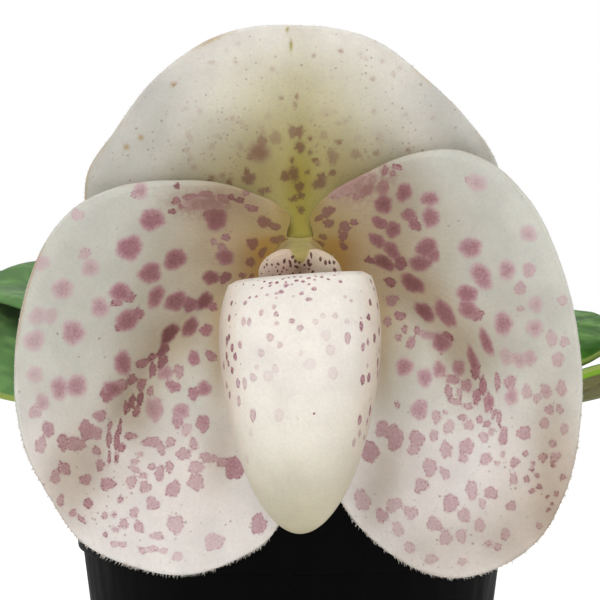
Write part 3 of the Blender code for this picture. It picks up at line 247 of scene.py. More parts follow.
POUCH_SPOTS: SpotTable = (
    (-2.5, 1.1, 0.35, 0.27, 0.4), (-3.2, 0.9, 0.21, 0.21, 0.4), (0.2, 0.9, 0.27, 0.27, 0.4),
    (-1.9, 1.9, 0.27, 0.32, 0.42), (1.9, 1.5, 0.32, 0.29, 0.38), (-0.9, 0.5, 0.21, 0.16, 0.26),
    (1.2, 0.1, 0.4, 0.27, 0.34), (-6.7, 0.3, 0.27, 0.21, 0.44), (-5.9, 0.5, 0.21, 0.19, 0.44),
    (-7.3, -0.4, 0.27, 0.32, 0.34), (-4.4, 0.7, 0.21, 0.19, 0.42), (-6.8, -2.9, 0.29, 0.59, 0.3),
    (-3.5, -0.9, 0.29, 0.35, 0.26), (-3.2, -1.9, 0.32, 0.35, 0.34), (-5.2, -1.7, 0.32, 0.48, 0.28),
    (-7.6, -2.9, 0.27, 0.59, 0.28), (-1.1, -2.8, 0.4, 0.35, 0.34), (-3.1, -3.1, 0.35, 0.29, 0.22),
    (0, -3.7, 0.46, 0.4, 0.26), (2.1, -2.9, 0.4, 0.4, 0.16), (4.7, -2.1, 0.4, 0.4, 0.2),
    (3.1, -2.1, 0.32, 0.4, 0.16), (6.3, -2.9, 0.35, 0.4, 0.16), (6.8, -0.1, 0.35, 0.27, 0.24),
    (6, 0.4, 0.27, 0.24, 0.2), (5.4, 2.5, 0.29, 0.24, 0.4), (-4, -5, 0.46, 0.54, 0.26),
    (-8, -6, 0.32, 0.48, 0.34), (-2.7, -6, 0.4, 0.43, 0.2), (3.5, -4.7, 0.67, 0.67, 0.12),
    (4.1, -6.7, 0.62, 0.67, 0.16), (6.4, -5.1, 0.4, 0.8, 0.3), (-5.2, -7.1, 0.43, 0.54, 0.22),
    (0.1, -7.1, 0.32, 0.4, 0.12), (-5.8, -9, 0.32, 0.4, 0.16), (-6.3, -10.4, 0.54, 0.54, 0.24),
    (-3.3, -9.2, 0.46, 0.54, 0.14), (-4.3, -10.2, 0.67, 0.67, 0.12), (1.3, -8.6, 0.8, 0.67, 0.1),
    (4.4, -9.8, 0.67, 0.8, 0.16), (-8.3, -11.1, 0.29, 0.67, 0.36), (-7.4, -11.2, 0.32, 0.8, 0.26),
    (-6.3, -15.4, 0.4, 0.94, 0.3), (-8.2, -13.5, 0.27, 0.74, 0.28), (-2.8, -15.4, 0.54, 0.94, 0.14),
    (-0.4, -15.8, 0.12, 0.32, 1, 15), (1.9, -15.2, 0.16, 0.17, 0.7), (-2.2, -9.5, 0.11, 0.24, 0.6),
    (-9.2, -0.4, 0.19, 0.37, 0.7), (-9.5, -2.4, 0.21, 0.48, 0.7), (-9.5, -5, 0.21, 0.46, 0.7),
    (-9.1, -6.4, 0.27, 0.54, 0.6), (-8.7, -7.6, 0.27, 0.54, 0.5), (-9.1, -9.4, 0.24, 0.51, 0.5),
    (-9.8, -5.6, 0.16, 0.67, 0.6), (-9.8, -7.5, 0.16, 0.59, 0.6), (-9.6, -8.6, 0.16, 0.46, 0.6),
    (-9.4, -12.7, 0.16, 0.54, 0.5), (-9.8, -11.5, 0.16, 0.54, 0.4), (-10.2, -8.8, 0.16, 0.54, 0.4),
    (9.5, 2.5, 0.21, 0.32, 0.9), (9.9, 1.5, 0.19, 0.35, 0.8), (9.4, -0.3, 0.24, 0.51, 0.8),
    (10.4, -0.8, 0.16, 0.46, 0.8), (9.2, -2.3, 0.35, 0.46, 0.7), (8.2, -3.5, 0.29, 0.62, 0.44),
    (10.6, -4.1, 0.19, 0.54, 0.7), (10, -5.1, 0.24, 0.62, 0.7), (9.1, -5.6, 0.21, 0.46, 0.4),
    (8.4, -6.3, 0.35, 0.56, 0.36), (10.4, -8.4, 0.19, 0.67, 0.7), (9.2, -10.4, 0.27, 0.67, 0.6),
    (8.4, -10.7, 0.35, 0.72, 0.5), (10.4, -9.9, 0.16, 0.67, 0.6), (9.4, -14.9, 0.19, 0.8, 0.5),
    (8, -16.1, 0.27, 0.8, 0.44), (8, -17.9, 0.21, 0.67, 0.3), (7.2, -19.1, 0.24, 0.67, 0.3),
    (9, -16.3, 0.16, 0.54, 0.4), (9, -8.8, 0.19, 0.32, 0.3), (10.6, -6.7, 0.13, 0.4, 0.5),
    (8.6, -18.5, 0.16, 0.54, 0.44), (-6.6, -17.7, 0.27, 0.67, 0.12), (-7.1, -21.4, 0.27, 0.8, 0.12),
    (-4.8, 2.5, 0.19, 0.17, 0.6), (-4, 2.3, 0.27, 0.17, 0.7, 25), (-3.1, 2.3, 0.21, 0.2, 0.7),
    (-2.3, 2.8, 0.2, 0.17, 0.6), (-1.5, 3, 0.2, 0.17, 0.7), (-0.5, 2.6, 0.24, 0.17, 0.6),
    (0.4, 2.5, 0.24, 0.17, 0.6), (1.2, 2.1, 0.19, 0.17, 0.5), (-0.8, 3.1, 0.19, 0.16, 0.8),
    (0.1, 3.1, 0.21, 0.16, 0.7), (1.2, 2.9, 0.24, 0.16, 0.7), (2, 2.7, 0.17, 0.19, 0.6),
    (2.9, 3.1, 0.24, 0.17, 0.8, -20), (3.8, 2.8, 0.24, 0.16, 0.8, -20), (4.6, 3.3, 0.19, 0.16, 0.6),
    (2.1, 3.2, 0.19, 0.16, 0.6), (-5.1, 1.6, 0.24, 0.13, 0.7, 25), (-4, 1.9, 0.21, 0.13, 0.6, 25),
    (-3.2, 0.3, 0.16, 0.16, 0.3), (-7.6, 2.1, 0.19, 0.13, 0.6), (-6.2, 2, 0.19, 0.13, 0.6),
    (-8.6, 1.9, 0.17, 0.13, 0.4), (-1.9, 2.4, 0.17, 0.16, 0.6), (-1.1, 2.1, 0.19, 0.16, 0.5),
)  # fmt: skip
SHIELD_SPOTS: SpotTable = (
    (-4.2, 5.3, 0.19, 0.13, 0.9, 30), (-4.6, 4.4, 0.16, 0.21, 0.55), (-5, 3.6, 0.17, 0.17, 0.6),
    (-4.3, 4.7, 0.19, 0.24, 0.6), (-4, 3.9, 0.17, 0.17, 0.6), (-3.6, 4.7, 0.17, 0.21, 0.5),
    (-3.5, 3.4, 0.21, 0.16, 0.6), (-3.1, 4.4, 0.17, 0.17, 0.7), (-2.8, 4.8, 0.24, 0.29, 0.75, 30),
    (-2.9, 4, 0.17, 0.24, 0.65), (-1.9, 5.2, 0.24, 0.37, 0.9, -25), (-2.6, 3.5, 0.21, 0.16, 0.6),
    (-2.1, 4.3, 0.19, 0.27, 0.55), (-2.3, 3.9, 0.17, 0.17, 0.6), (-1.7, 4.1, 0.17, 0.21, 0.6),
    (-4.1, 3.1, 0.21, 0.13, 0.55), (-4.6, 3, 0.16, 0.13, 0.5), (-3.2, 3.1, 0.19, 0.13, 0.55),
    (-1.1, 5, 0.21, 0.43, 1, 20), (-0.8, 5.6, 0.24, 0.27, 1, 40), (-0.5, 5.2, 0.19, 0.24, 1),
    (-0.3, 4.6, 0.21, 0.24, 0.9, -40), (-1.1, 4.6, 0.24, 0.16, 0.9), (-0.9, 3.7, 0.19, 0.27, 0.9),
    (-0.1, 5.1, 0.16, 0.17, 0.8), (0, 3.9, 0.15, 0.21, 0.8), (0.5, 4.8, 0.21, 0.17, 0.9),
    (0.9, 5.1, 0.2, 0.4, 1), (1.3, 5.9, 0.15, 0.46, 1), (1.2, 4.8, 0.29, 0.24, 1),
    (1.6, 3.8, 0.24, 0.32, 0.9, -20), (1.1, 4.3, 0.17, 0.16, 0.8), (-0.5, 4.7, 0.16, 0.16, 0.9),
    (-1.3, 3.5, 0.19, 0.16, 0.7), (-1.7, 3.3, 0.2, 0.16, 0.6), (0.4, 3.5, 0.19, 0.13, 0.7),
    (2.6, 5.4, 0.21, 0.35, 0.7), (3.3, 5, 0.24, 0.32, 0.7), (3.8, 5, 0.21, 0.35, 0.75),
    (4.4, 5, 0.24, 0.32, 0.7), (4.5, 4, 0.27, 0.37, 0.55, 20), (4.2, 3.6, 0.24, 0.21, 0.5),
    (2.1, 3.3, 0.2, 0.13, 0.6), (2.9, 3.1, 0.21, 0.13, 0.6), (5, 3.5, 0.19, 0.13, 0.5),
    (3.6, 3, 0.21, 0.13, 0.6),
)  # fmt: skip

OCHRE_SPECKS: SpotTable = (
    (-23.3, 20.6, 0.36, 0.34, 1), (-21.3, 21.9, 0.36, 0.34, 1), (-17, 29, 0.3, 0.26, 1),
)  # fmt: skip


def srgb(red: int, green: int, blue: int) -> Colour:
    """A colour given as on a screen, from 0 to 255, as the linear numbers of a shader.

    Args:
        red: the red share, 0 to 255.
        green: the green share.
        blue: the blue share.

    Returns:
        The linear colour.
    """
    shares = [value / 255 for value in (red, green, blue)]
    return tuple(s / 12.92 if s <= 0.04045 else ((s + 0.055) / 1.055) ** 2.4 for s in shares)


def rise(x: Array | float, low: float, high: float) -> Array:
    """A smooth step: 0 below low, 1 above high."""
    share = np.clip((np.asarray(x, float) - low) / (high - low), 0, 1)
    return share * share * (3 - 2 * share)


def mix(a: Array | float, b: Array | float, share: Array | float) -> Array:
    """The value this share of the way from a to b."""
    return a + (b - a) * share


def hump(x: Array | float, centre: float, width: float) -> Array:
    """A bell curve of height 1 about a centre."""
    return np.exp(-(((np.asarray(x, float) - centre) / width) ** 2))


def bloom_points(x: Array, d: Array, h: Array) -> Array:
    """Points of the bloom's own frame, x to the right, d away from the viewer and h up, in the world."""
    return np.stack(np.broadcast_arrays(x, d, h), axis=-1) + BLOOM


def front_view(points: Array) -> tuple[Array, Array]:
    """(right, up) of each point as it is seen from in front of the bloom, at the column's distance."""
    share = VIEW_DISTANCE / (VIEW_DISTANCE + points[:, 1] - BLOOM[1])
    return (points[:, 0] - BLOOM[0]) * share, (points[:, 2] - VIEW_HEIGHT) * share


def oval(right: Array, up: Array, place: Oval) -> Array:
    """A soft patch on the front view.

    Args:
        right: how far right each point lies.
        up: how high it lies.
        place: the oval's (right, up, half length, half width, turn in degrees).

    Returns:
        1 in the oval's middle, fading to 0 outside it.
    """
    u, v, length, width, turn = place
    cosine, sine = math.cos(math.radians(turn)), math.sin(math.radians(turn))
    long, wide = (right - u) * cosine + (up - v) * sine, (up - v) * cosine - (right - u) * sine
    return np.exp(-(((long / length) ** 2 + (wide / width) ** 2) ** 1.4))


def unit(vectors: Array) -> Array:
    """Each vector at length 1."""
    return vectors / np.maximum(np.linalg.norm(vectors, axis=-1, keepdims=True), 1e-9)


def between(places: Array, given: Array, vectors: Array) -> Array:
    """The vectors at these places, between those that are given for some places."""
    return np.stack([np.interp(places, given, vectors[:, k]) for k in range(3)], axis=1)


def waves(points: Array, length: float, seed: int) -> Array:
    """A soft, seeded unevenness from -1 to 1 with about this wavelength.

    Args:
        points: the places, one row each.
        length: the wavelength.
        seed: which unevenness.

    Returns:
        One value for each place.
    """
    draw = np.random.default_rng(seed)
    total = np.zeros(len(points))
    for share in (1.0, 1.6, 2.3, 3.1):
        direction = unit(draw.normal(size=(1, points.shape[1])))[0]
        total += np.sin(points @ direction * math.tau * share / length + draw.uniform(0, math.tau)) / share
    return total / 2.2


def deselect() -> None:
    """Leaves edit mode and selects nothing."""
    if bpy.context.object and bpy.context.object.mode != "OBJECT":
        bpy.ops.object.mode_set(mode="OBJECT")
    bpy.ops.object.select_all(action="DESELECT")


def select(obj: Piece) -> None:
    """Selects one object alone and makes it the active one.

    Args:
        obj: the object.
    """
    deselect()
    obj.select_set(True)
    bpy.context.view_layer.objects.active = obj


def apply(obj: Piece, kind: str, **settings: object) -> None:
    """Adds a modifier and applies it.

    Args:
        obj: the piece.
        kind: the modifier's type.
        settings: its settings by name.
    """
    modifier = obj.modifiers.new(kind.title(), kind)
    for name, value in settings.items():
        setattr(modifier, name, value)
    select(obj)
    bpy.ops.object.modifier_apply(modifier=modifier.name)


def smooth(obj: Piece, degrees: float) -> None:
    """Shades a piece smooth over edges flatter than this."""
    select(obj)
    bpy.ops.object.shade_smooth_by_angle(angle=math.radians(degrees))


def edit() -> None:
    """Enters the active piece's edit mode, with all of it selected."""
    bpy.ops.object.mode_set(mode="EDIT")
    bpy.ops.mesh.select_all(action="SELECT")


def link(name: str, data: bpy.types.ID) -> Piece:
    """Adds an object to the scene.

    Args:
        name: its name.
        data: its mesh, lamp or camera.

    Returns:
        The object.
    """
    obj = bpy.data.objects.new(name, data)
    bpy.context.scene.collection.objects.link(obj)
    return obj


def new_piece(name: str, points: Array, faces: list) -> Piece:
    """Adds a piece made of points and faces.

    Args:
        name: its name.
        points: its vertices, in millimetres.
        faces: the vertices of each face.

    Returns:
        The piece.
    """
    mesh = bpy.data.meshes.new(name)
    mesh.from_pydata((points * MM).tolist(), [], faces)
    return link(name, mesh)


def keep(obj: Piece, name: str, values: Array) -> None:
    """Stores an attribute that a material can read.

    Args:
        obj: the piece.
        name: the attribute's name.
        values: a number or a vector for each vertex.
    """
    values = np.asarray(values, np.float32)
    kind, socket = ("FLOAT", "value") if values.ndim == 1 else ("FLOAT_VECTOR", "vector")
    layer = obj.data.attributes.get(name) or obj.data.attributes.new(name, kind, "POINT")
    layer.data.foreach_set(socket, values.ravel())


def vertices(obj: Piece) -> Array:
    """Reads a mesh's vertices.

    Args:
        obj: the piece.

    Returns:
        Their places in millimetres, one row each.
    """
    places = np.zeros(len(obj.data.vertices) * 3)
    obj.data.vertices.foreach_get("co", places)
    return places.reshape(-1, 3) / MM


def place_vertices(obj: Piece, points: Array) -> None:
    """Puts the mesh's vertices at these places, in millimetres."""
    obj.data.vertices.foreach_set("co", (points * MM).ravel())
    obj.data.update()


class Skin(Enum):
    """The material slots, by what they cover."""

    POT = "black_plastic"
    BARK = "bark"
    CROWN = "crown_green"
    LEAF = "leaf_green"
    STALK = "stalk_purple"
    BRACT = "bract_green"
    OVARY = "ovary_green"
    PETAL = "petal_white"
    POUCH = "pouch_white"
    COLUMN = "column_green"
    SHIELD = "shield_white"


def hand_in(obj: Piece, skin: Skin, *nodes: str) -> None:
    """Lets a finished piece ride on the plant.

    Args:
        obj: the piece.
        skin: its material slot, which is not used.
        nodes: the solids that it stands for, if any.
    """
    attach(obj, "root")
    if nodes:
        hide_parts(*nodes)
    LOG.info("%s: %d faces", obj.name, len(obj.data.polygons))


class Shading:
    """The nodes of one material: each method adds a node and returns the socket that it gives."""

    def __init__(self, name: str) -> None:
        """Starts a material with only its Principled shader.

        Args:
            name: the material's name.
        """
        self.material = bpy.data.materials.new(name)
        self.material.use_nodes = True
        self.tree = self.material.node_tree
        self.shader = self.tree.nodes["Principled BSDF"]

    def node(self, kind: str, values: dict[str | int, object], **settings: object) -> bpy.types.Node:
        """Adds a node.

        Args:
            kind: the node's type, without its ShaderNode prefix.
            values: for each input, by name or number, a socket to link or a constant.
            settings: the node's own options.

        Returns:
            The node.
        """
        made = self.tree.nodes.new("ShaderNode" + kind)
        for name, value in settings.items():
            setattr(made, name, value)
        for name, value in values.items():
            self.feed(made.inputs[name], value)
        return made

    def feed(self, socket: Socket, value: object) -> None:
        """Links a socket, or sets its constant.

        Args:
            socket: an input.
            value: a socket, a number, a vector, or a colour of three numbers.
        """
        if isinstance(value, bpy.types.NodeSocket):
            self.tree.links.new(value, socket)
        elif isinstance(value, tuple) and len(value) == 3 and socket.type == "RGBA":
            socket.default_value = (*value, 1)
        else:
            socket.default_value = value

    def surface(self, **inputs: object) -> None:
        """Feeds the shader's inputs; an underscore stands for the space in an input's name."""
        for name, value in inputs.items():
            self.feed(self.shader.inputs[name.replace("_", " ")], value)

    def place(self) -> Socket:
        """The point's place on the plant, in millimetres."""
        coordinates = self.node("TexCoord", {}).outputs["Object"]
        return self.node("VectorMath", {0: coordinates, "Scale": 1 / MM}, operation="SCALE").outputs[0]

    def value(self, name: str) -> Socket:
        """A number that the piece keeps at each vertex."""
        return self.node("Attribute", {}, attribute_name=name).outputs["Fac"]

    def vector(self, name: str) -> Socket:
        """A vector that the piece keeps at each vertex."""
        return self.node("Attribute", {}, attribute_name=name).outputs["Vector"]

    def stretched(self, vector: Socket, scale: Triple) -> Socket:
        """A place multiplied axis by axis, to draw a pattern out."""
        return self.node("VectorMath", {0: vector, 1: scale}, operation="MULTIPLY").outputs[0]

    def noise(self, vector: Socket, scale: float, detail: float = 2, warp: float = 0) -> Socket:
        """Soft noise about 0.5 with this many patches per millimetre."""
        values = {"Vector": vector, "Scale": scale, "Detail": detail, "Roughness": 0.55, "Distortion": warp}
        return self.node("TexNoise", values).outputs[0]

    def cells(self, vector: Socket, scale: float) -> tuple[Socket, Socket]:
        """(distance to the cell's point, the cell's own random colour) of scattered cells."""
        made = self.node("TexVoronoi", {"Vector": vector, "Scale": scale})
        return made.outputs["Distance"], made.outputs["Color"]

    def maths(self, operation: str, a: object, b: object = 0.0, clamp: bool = False) -> Socket:
        """One operation on two numbers."""
        return self.node("Math", {0: a, 1: b}, operation=operation, use_clamp=clamp).outputs[0]

    def times(self, a: object, b: object) -> Socket:
        """The product of two numbers."""
        return self.maths("MULTIPLY", a, b)

    def plus(self, a: object, b: object) -> Socket:
        """The sum of two numbers."""
        return self.maths("ADD", a, b)

    def band(self, value: Socket, low: object, high: object, start: float = 0, end: float = 1) -> Socket:
        """A smooth step of the value from low to high, which gives start to end."""
        values = {"Value": value, "From Min": low, "From Max": high, "To Min": start, "To Max": end}
        return self.node("MapRange", values, interpolation_type="SMOOTHSTEP").outputs[0]

    def mixed(self, share: object, a: object, b: object, blend: str = "MIX") -> Socket:
        """Two colours mixed."""
        return self.node("Mix", {0: share, 6: a, 7: b}, data_type="RGBA", blend_type=blend).outputs[2]

    def ramp(self, value: Socket, stops: list[tuple[float, Colour]]) -> Socket:
        """A colour that changes with a value.

        Args:
            value: the value.
            stops: the colours at some values, in order.

        Returns:
            The colour.
        """
        made = self.node("ValToRGB", {0: value})
        elements = made.color_ramp.elements
        while len(elements) < len(stops):
            elements.new(1)
        for element, (position, colour) in zip(elements, stops):
            element.position = position
            element.color = (*colour, 1)
        return made.outputs[0]

    def relief(self, height: Socket, depth: float, under: Socket | None = None) -> Socket:
        """A surface's small ups and downs.

        Args:
            height: their height, from 0 to 1.
            depth: how many millimetres that is.
            under: the normal of a coarser relief under them.

        Returns:
            The normal.
        """
        values: dict[str | int, object] = {"Height": height, "Distance": depth * MM}
        if under is not None:
            values["Normal"] = under
        return self.node("Bump", values).outputs[0]


@dataclass(frozen=True)
class TissueFinish:
    """The soft skin of a petal, sepal, lip or shield, with its zones of colour and its spots.

    The piece keeps, at each vertex, how far it lies in each zone, how far inside a spot's edge it lies in
    millimetres, and that spot's depth of colour.
    """

    name: str
    clear: Colour
    shade: Colour
    tan: Colour
    olive: Colour
    # The rust colour: the skin's own rusty brown, also used as painted shade beside the lip.
    rust: Colour
    blush: Colour = srgb(160, 124, 112)
    spot_colours: tuple[Colour, ...] = (srgb(212, 181, 188), srgb(180, 127, 140), srgb(120, 56, 68))
    spot_strength: float = 0.95
    spot_faintness: float = 0.62
    spot_softness: float = 0.36
    spot_growth: float = 0.07
    spot_raggedness: float = 0.38
    spot_browning: float = 0.5
    browns: tuple[tuple[str, float, Colour], ...] = (
        ("tan", 1.0, srgb(136, 86, 78)), ("rust", 1.5, srgb(122, 84, 36)), ("olive", 1.5, srgb(116, 88, 34)),
    )  # fmt: skip
    speck_colour: Colour = srgb(150, 118, 110)
    speck_strength: float = 0.6
    # A colour that multiplies the skin where it is painted darker as shade.
    dusk: Colour = (0.52, 0.43, 0.33)
    vein_depth: float = 0.012
    roughness: float = 0.6
    sheen: float = 0.12
    subsurface: float = 0.14

    def build(self) -> Material:
        """Makes the material.

        Returns:
            The material.
        """
        s = Shading(self.name)
        place = s.place()
        skin = s.mixed(s.value("shade"), self.clear, self.shade)
        skin = s.mixed(s.value("tan"), skin, self.tan)
        skin = s.mixed(s.value("rust"), skin, self.rust)
        skin = s.mixed(s.value("olive"), skin, self.olive)
        cloud = s.band(s.noise(place, 0.16, 3), 0.3, 0.7, 0.92, 1.03)
        grain = s.band(s.noise(place, 2.6, 3), 0.3, 0.7, 0.97, 1.03)
        skin = s.mixed(1.0, skin, s.times(cloud, grain), "MULTIPLY")

        distance, lot = s.cells(place, 1.5)
        lot = s.node("SeparateColor", {0: lot})
        size = s.band(lot.outputs[1], 0.0, 1.0, 0.16, 0.42)
        dots = s.band(distance, size, s.times(size, 0.3))
        dots = s.times(dots, s.maths("LESS_THAN", lot.outputs[0], s.value("specks")))
        patchy = s.band(s.noise(place, 0.33, 1), 0.4, 0.6, 0.3, 1.0)
        dots = s.times(s.times(dots, patchy), self.speck_strength)
        skin = s.mixed(dots, skin, self.speck_colour)

        depth = s.value("spot_depth")
        lobes = s.times(s.maths("SUBTRACT", s.noise(place, 0.9, 2), 0.5), self.spot_raggedness)
        crisp = s.value("spot_edge")
        raggedness = s.band(crisp, 0.0, 1.0, self.spot_raggedness * 0.8, self.spot_raggedness * 2.0)
        fringe = s.times(s.maths("SUBTRACT", s.noise(place, 2.6, 2), 0.5), raggedness)
        inside = s.plus(s.value("spot"), s.plus(lobes, fringe))
        inside = s.plus(inside, self.spot_growth)
        blur = s.band(depth, 0.1, 0.6, self.spot_softness * 1.3, self.spot_softness)
        blur = s.times(blur, s.band(crisp, 0.0, 1.0, 1.0, 0.42))
        cover = s.band(inside, s.times(blur, -1.1), s.times(blur, 0.9))
        cover = s.times(cover, s.band(depth, 0.0, 0.5, self.spot_faintness, self.spot_strength))
        core = s.band(inside, -0.2, 1.0, -0.26, 0.1)
        core = s.times(core, s.band(crisp, 0.0, 1.0, 1.0, 0.15))
        edge = s.times(s.band(inside, -0.05, 0.08), s.band(inside, 0.32, 0.14))
        edge = s.times(edge, s.band(s.noise(place, 3.6, 1), 0.42, 0.58, -0.04, 0.5))
        core = s.plus(core, s.times(edge, crisp))
        mottle = s.band(s.noise(place, 3.0, 3), 0.3, 0.7, -0.1, 0.1)
        tone = s.maths("ADD", depth, s.plus(core, mottle), clamp=True)
        pale, middle, dark = self.spot_colours
        colour = s.ramp(tone, [(0.12, pale), (0.5, middle), (1.0, dark)])
        for zone, share, brown in self.browns:
            colour = s.mixed(s.times(s.value(zone), self.spot_browning * share), colour, brown)
        skin = s.mixed(cover, skin, colour)
        blotch = s.times(s.value("blush"), s.band(s.noise(place, 1.1, 4, 0.6), 0.36, 0.6, 0.25, 0.9))
        skin = s.mixed(blotch, skin, self.blush)
        # Multiplies the skin darker where the piece keeps its painted shade.
        skin = s.mixed(1.0, skin, s.mixed(s.value("dusk"), (1.0, 1.0, 1.0), self.dusk), "MULTIPLY")

        veins = s.maths("MULTIPLY_ADD", s.noise(place, 0.25, 2), 5.0)
        s.feed(veins.node.inputs[2], s.times(s.value("vein"), math.tau / 1.35))
        ridges = s.times(s.maths("SINE", veins), 0.5)
        normal = s.relief(ridges, self.vein_depth)
        normal = s.relief(s.noise(place, 5.5, 2), 0.05, normal)
        s.surface(
            Base_Color=skin,
            Roughness=self.roughness,
            Normal=normal,
            Subsurface_Weight=self.subsurface,
            Subsurface_Radius=(1.0, 0.6, 0.4),
            Subsurface_Scale=0.9 * MM,
            Sheen_Weight=self.sheen,
            Sheen_Roughness=0.5,
            Specular_IOR_Level=0.35,
        )
        return s.material


@dataclass(frozen=True)
class LeafFinish:
    """The upper or the lower skin of a leaf.

    The piece keeps its own place across and along the blade, in millimetres, the distance from its margin,
    and how pale it is.
    """

    name: str
    dark: Colour
    middle: Colour
    light: Colour
    pale: Colour
    margin: Colour
    margin_width: float
    speck: Colour
    speck_share: float
    roughness: float

    def build(self) -> Material:
        """Makes the material.

        Returns:
            The material.
        """
        s = Shading(self.name)
        blade = s.vector("blade")
        drawn = s.stretched(blade, (1.0, 0.62, 1.0))
        patches = s.band(s.noise(drawn, 0.2, 1.6, 0.5), 0.34, 0.62)
        islands = s.band(s.noise(drawn, 0.34, 1.6, 0.4), 0.46, 0.72)
        skin = s.mixed(patches, self.dark, self.middle)
        skin = s.mixed(s.times(islands, 0.7), skin, self.light)
        lines = s.noise(s.stretched(blade, (1.0, 0.06, 1.0)), 1.5, 2)
        skin = s.mixed(s.band(lines, 0.35, 0.65, 0.0, 0.12), skin, self.middle)
        # Paler where the piece keeps it: partly the leaf's pale bloom, partly painted light.
        skin = s.mixed(s.value("pale"), skin, self.pale)
        distance, lot = s.cells(drawn, 1.15)
        lot = s.node("SeparateColor", {0: lot})
        there = s.maths("LESS_THAN", lot.outputs[0], self.speck_share)
        dots = s.times(s.band(distance, 0.42, 0.2), there)
        skin = s.mixed(s.times(dots, 0.8), skin, self.speck)
        rim = s.band(s.value("margin"), self.margin_width, self.margin_width * 0.4, 0.0, 0.9)
        skin = s.mixed(rim, skin, self.margin)
        normal = s.relief(lines, 0.04)
        normal = s.relief(s.noise(drawn, 0.4, 1), 0.25, normal)
        normal = s.relief(s.noise(blade, 6.0, 2), 0.03, normal)
        gloss = s.band(s.noise(drawn, 0.8, 3), 0.3, 0.7, self.roughness - 0.05, self.roughness + 0.1)
        s.surface(
            Base_Color=skin,
            Roughness=gloss,
            Normal=normal,
            Specular_IOR_Level=0.12,
            Subsurface_Weight=0.08,
            Subsurface_Radius=(0.5, 1.0, 0.25),
            Subsurface_Scale=0.8 * MM,
        )
        return s.material


@dataclass(frozen=True)
class PlasticFinish:
    """Black moulded plastic: a satin gloss with faint flow streaks, fine scuffs and a little dust."""

    name: str
    colour: Colour = (0.0026, 0.0026, 0.0027)
    dust: Colour = srgb(52, 49, 45)
    roughness: float = 0.5

    def build(self) -> Material:
        """Makes the material.

        Returns:
            The material.
        """
        s = Shading(self.name)
        place = s.place()
        dusty = s.band(s.noise(place, 0.9, 5), 0.6, 0.78, 0.0, 0.04)
        streaks = s.noise(s.stretched(place, (1.0, 1.0, 0.05)), 0.35, 3)
        skin = s.mixed(dusty, self.colour, self.dust)
        gloss = s.band(streaks, 0.3, 0.7, self.roughness - 0.07, self.roughness + 0.09)
        gloss = s.plus(gloss, s.times(dusty, 3.0))
        normal = s.relief(streaks, 0.04)
        normal = s.relief(s.noise(place, 3.0, 3), 0.015, normal)
        s.surface(Base_Color=skin, Roughness=gloss, Normal=normal, Specular_IOR_Level=0.022)
        return s.material


@dataclass(frozen=True)
class BarkFinish:
    """Chips of fir bark: fibrous, rough and matt, each chip of its own brown."""

    name: str
    dark: Colour = srgb(42, 27, 18)
    middle: Colour = srgb(98, 62, 38)
    light: Colour = srgb(150, 112, 78)

    def build(self) -> Material:
        """Makes the material.

        Returns:
            The material.
        """
        s = Shading(self.name)
        place = s.place()
        lot = s.value("lot")
        fibres = s.noise(s.stretched(place, (1.0, 1.0, 2.6)), 0.9, 5, 1.2)
        tone = s.plus(s.times(lot, 0.45), s.times(fibres, 0.6))
        skin = s.ramp(tone, [(0.22, self.dark), (0.5, self.middle), (0.85, self.light)])
        cracks = s.band(s.noise(place, 1.9, 4, 0.5), 0.34, 0.5, 0.35, 1.0)
        skin = s.mixed(1.0, skin, cracks, "MULTIPLY")
        normal = s.relief(fibres, 0.9)
        normal = s.relief(s.noise(place, 4.5, 4), 0.25, normal)
        s.surface(Base_Color=skin, Roughness=0.88, Normal=normal, Specular_IOR_Level=0.25)
        return s.material


@dataclass(frozen=True)
class StemFinish:
    """The downy skin of the stalk, the ovary, the bract or the crown, flecked with a second colour."""

    name: str
    ground: Colour
    flecks: Colour
    fleck_share: float
    roughness: float = 0.6
    # A browner, darker colour for the sides: partly the column's own colour, partly painted shade.
    flank: Colour | None = None

    def build(self) -> Material:
        """Makes the material.

        Returns:
            The material.
        """
        s = Shading(self.name)
        place = s.place()
        flecks = s.band(s.noise(place, 1.3, 3), 0.62 - self.fleck_share, 0.7 - self.fleck_share)
        skin = s.mixed(s.times(flecks, 0.85), self.ground, self.flecks)
        if self.flank:
            skin = s.mixed(s.value("flank"), skin, self.flank)
        skin = s.mixed(1.0, skin, s.band(s.noise(place, 0.4, 3), 0.3, 0.7, 0.85, 1.1), "MULTIPLY")
        normal = s.relief(s.noise(place, 2.6, 3), 0.2)
        s.surface(
            Base_Color=skin,
            Roughness=self.roughness,
            Normal=normal,
            Sheen_Weight=0.2,
            Sheen_Roughness=0.5,
            Subsurface_Weight=0.08,
            Subsurface_Scale=0.6 * MM,
        )
        return s.material


@dataclass(frozen=True)
class HairFinish:
    """Fine plant hairs, nearly clear."""

    name: str
    root: Colour
    tip: Colour

    def build(self) -> Material:
        """Makes the material.

        Returns:
            The material.
        """
        s = Shading(self.name)
        skin = s.mixed(s.value("tip"), self.root, self.tip)
        s.surface(Base_Color=skin, Roughness=0.5, Specular_IOR_Level=0.4)
        return s.material


@dataclass(frozen=True)
class FloorFinish:
    """The studio's pale floor, which grows a little lighter with its distance from the plant."""

    name: str
    colour: Colour = (0.88, 0.88, 0.88)
    roughness: float = 0.9
    near_glow: float = 0.3
    far_glow: float = 0.66
    distances: Pair = (240.0, 520.0)

    def build(self) -> Material:
        """Makes the material.

        Returns:
            The material.
        """
        s = Shading(self.name)
        away = s.node("VectorMath", {0: s.place()}, operation="LENGTH").outputs["Value"]
        near, far = (self.near_glow,) * 3, (self.far_glow,) * 3
        glow = s.mixed(s.band(away, *self.distances), near, far)
        s.surface(Base_Color=self.colour, Roughness=self.roughness, Emission_Color=glow)
        s.surface(Emission_Strength=1.0, Specular_IOR_Level=0.1)
        return s.material


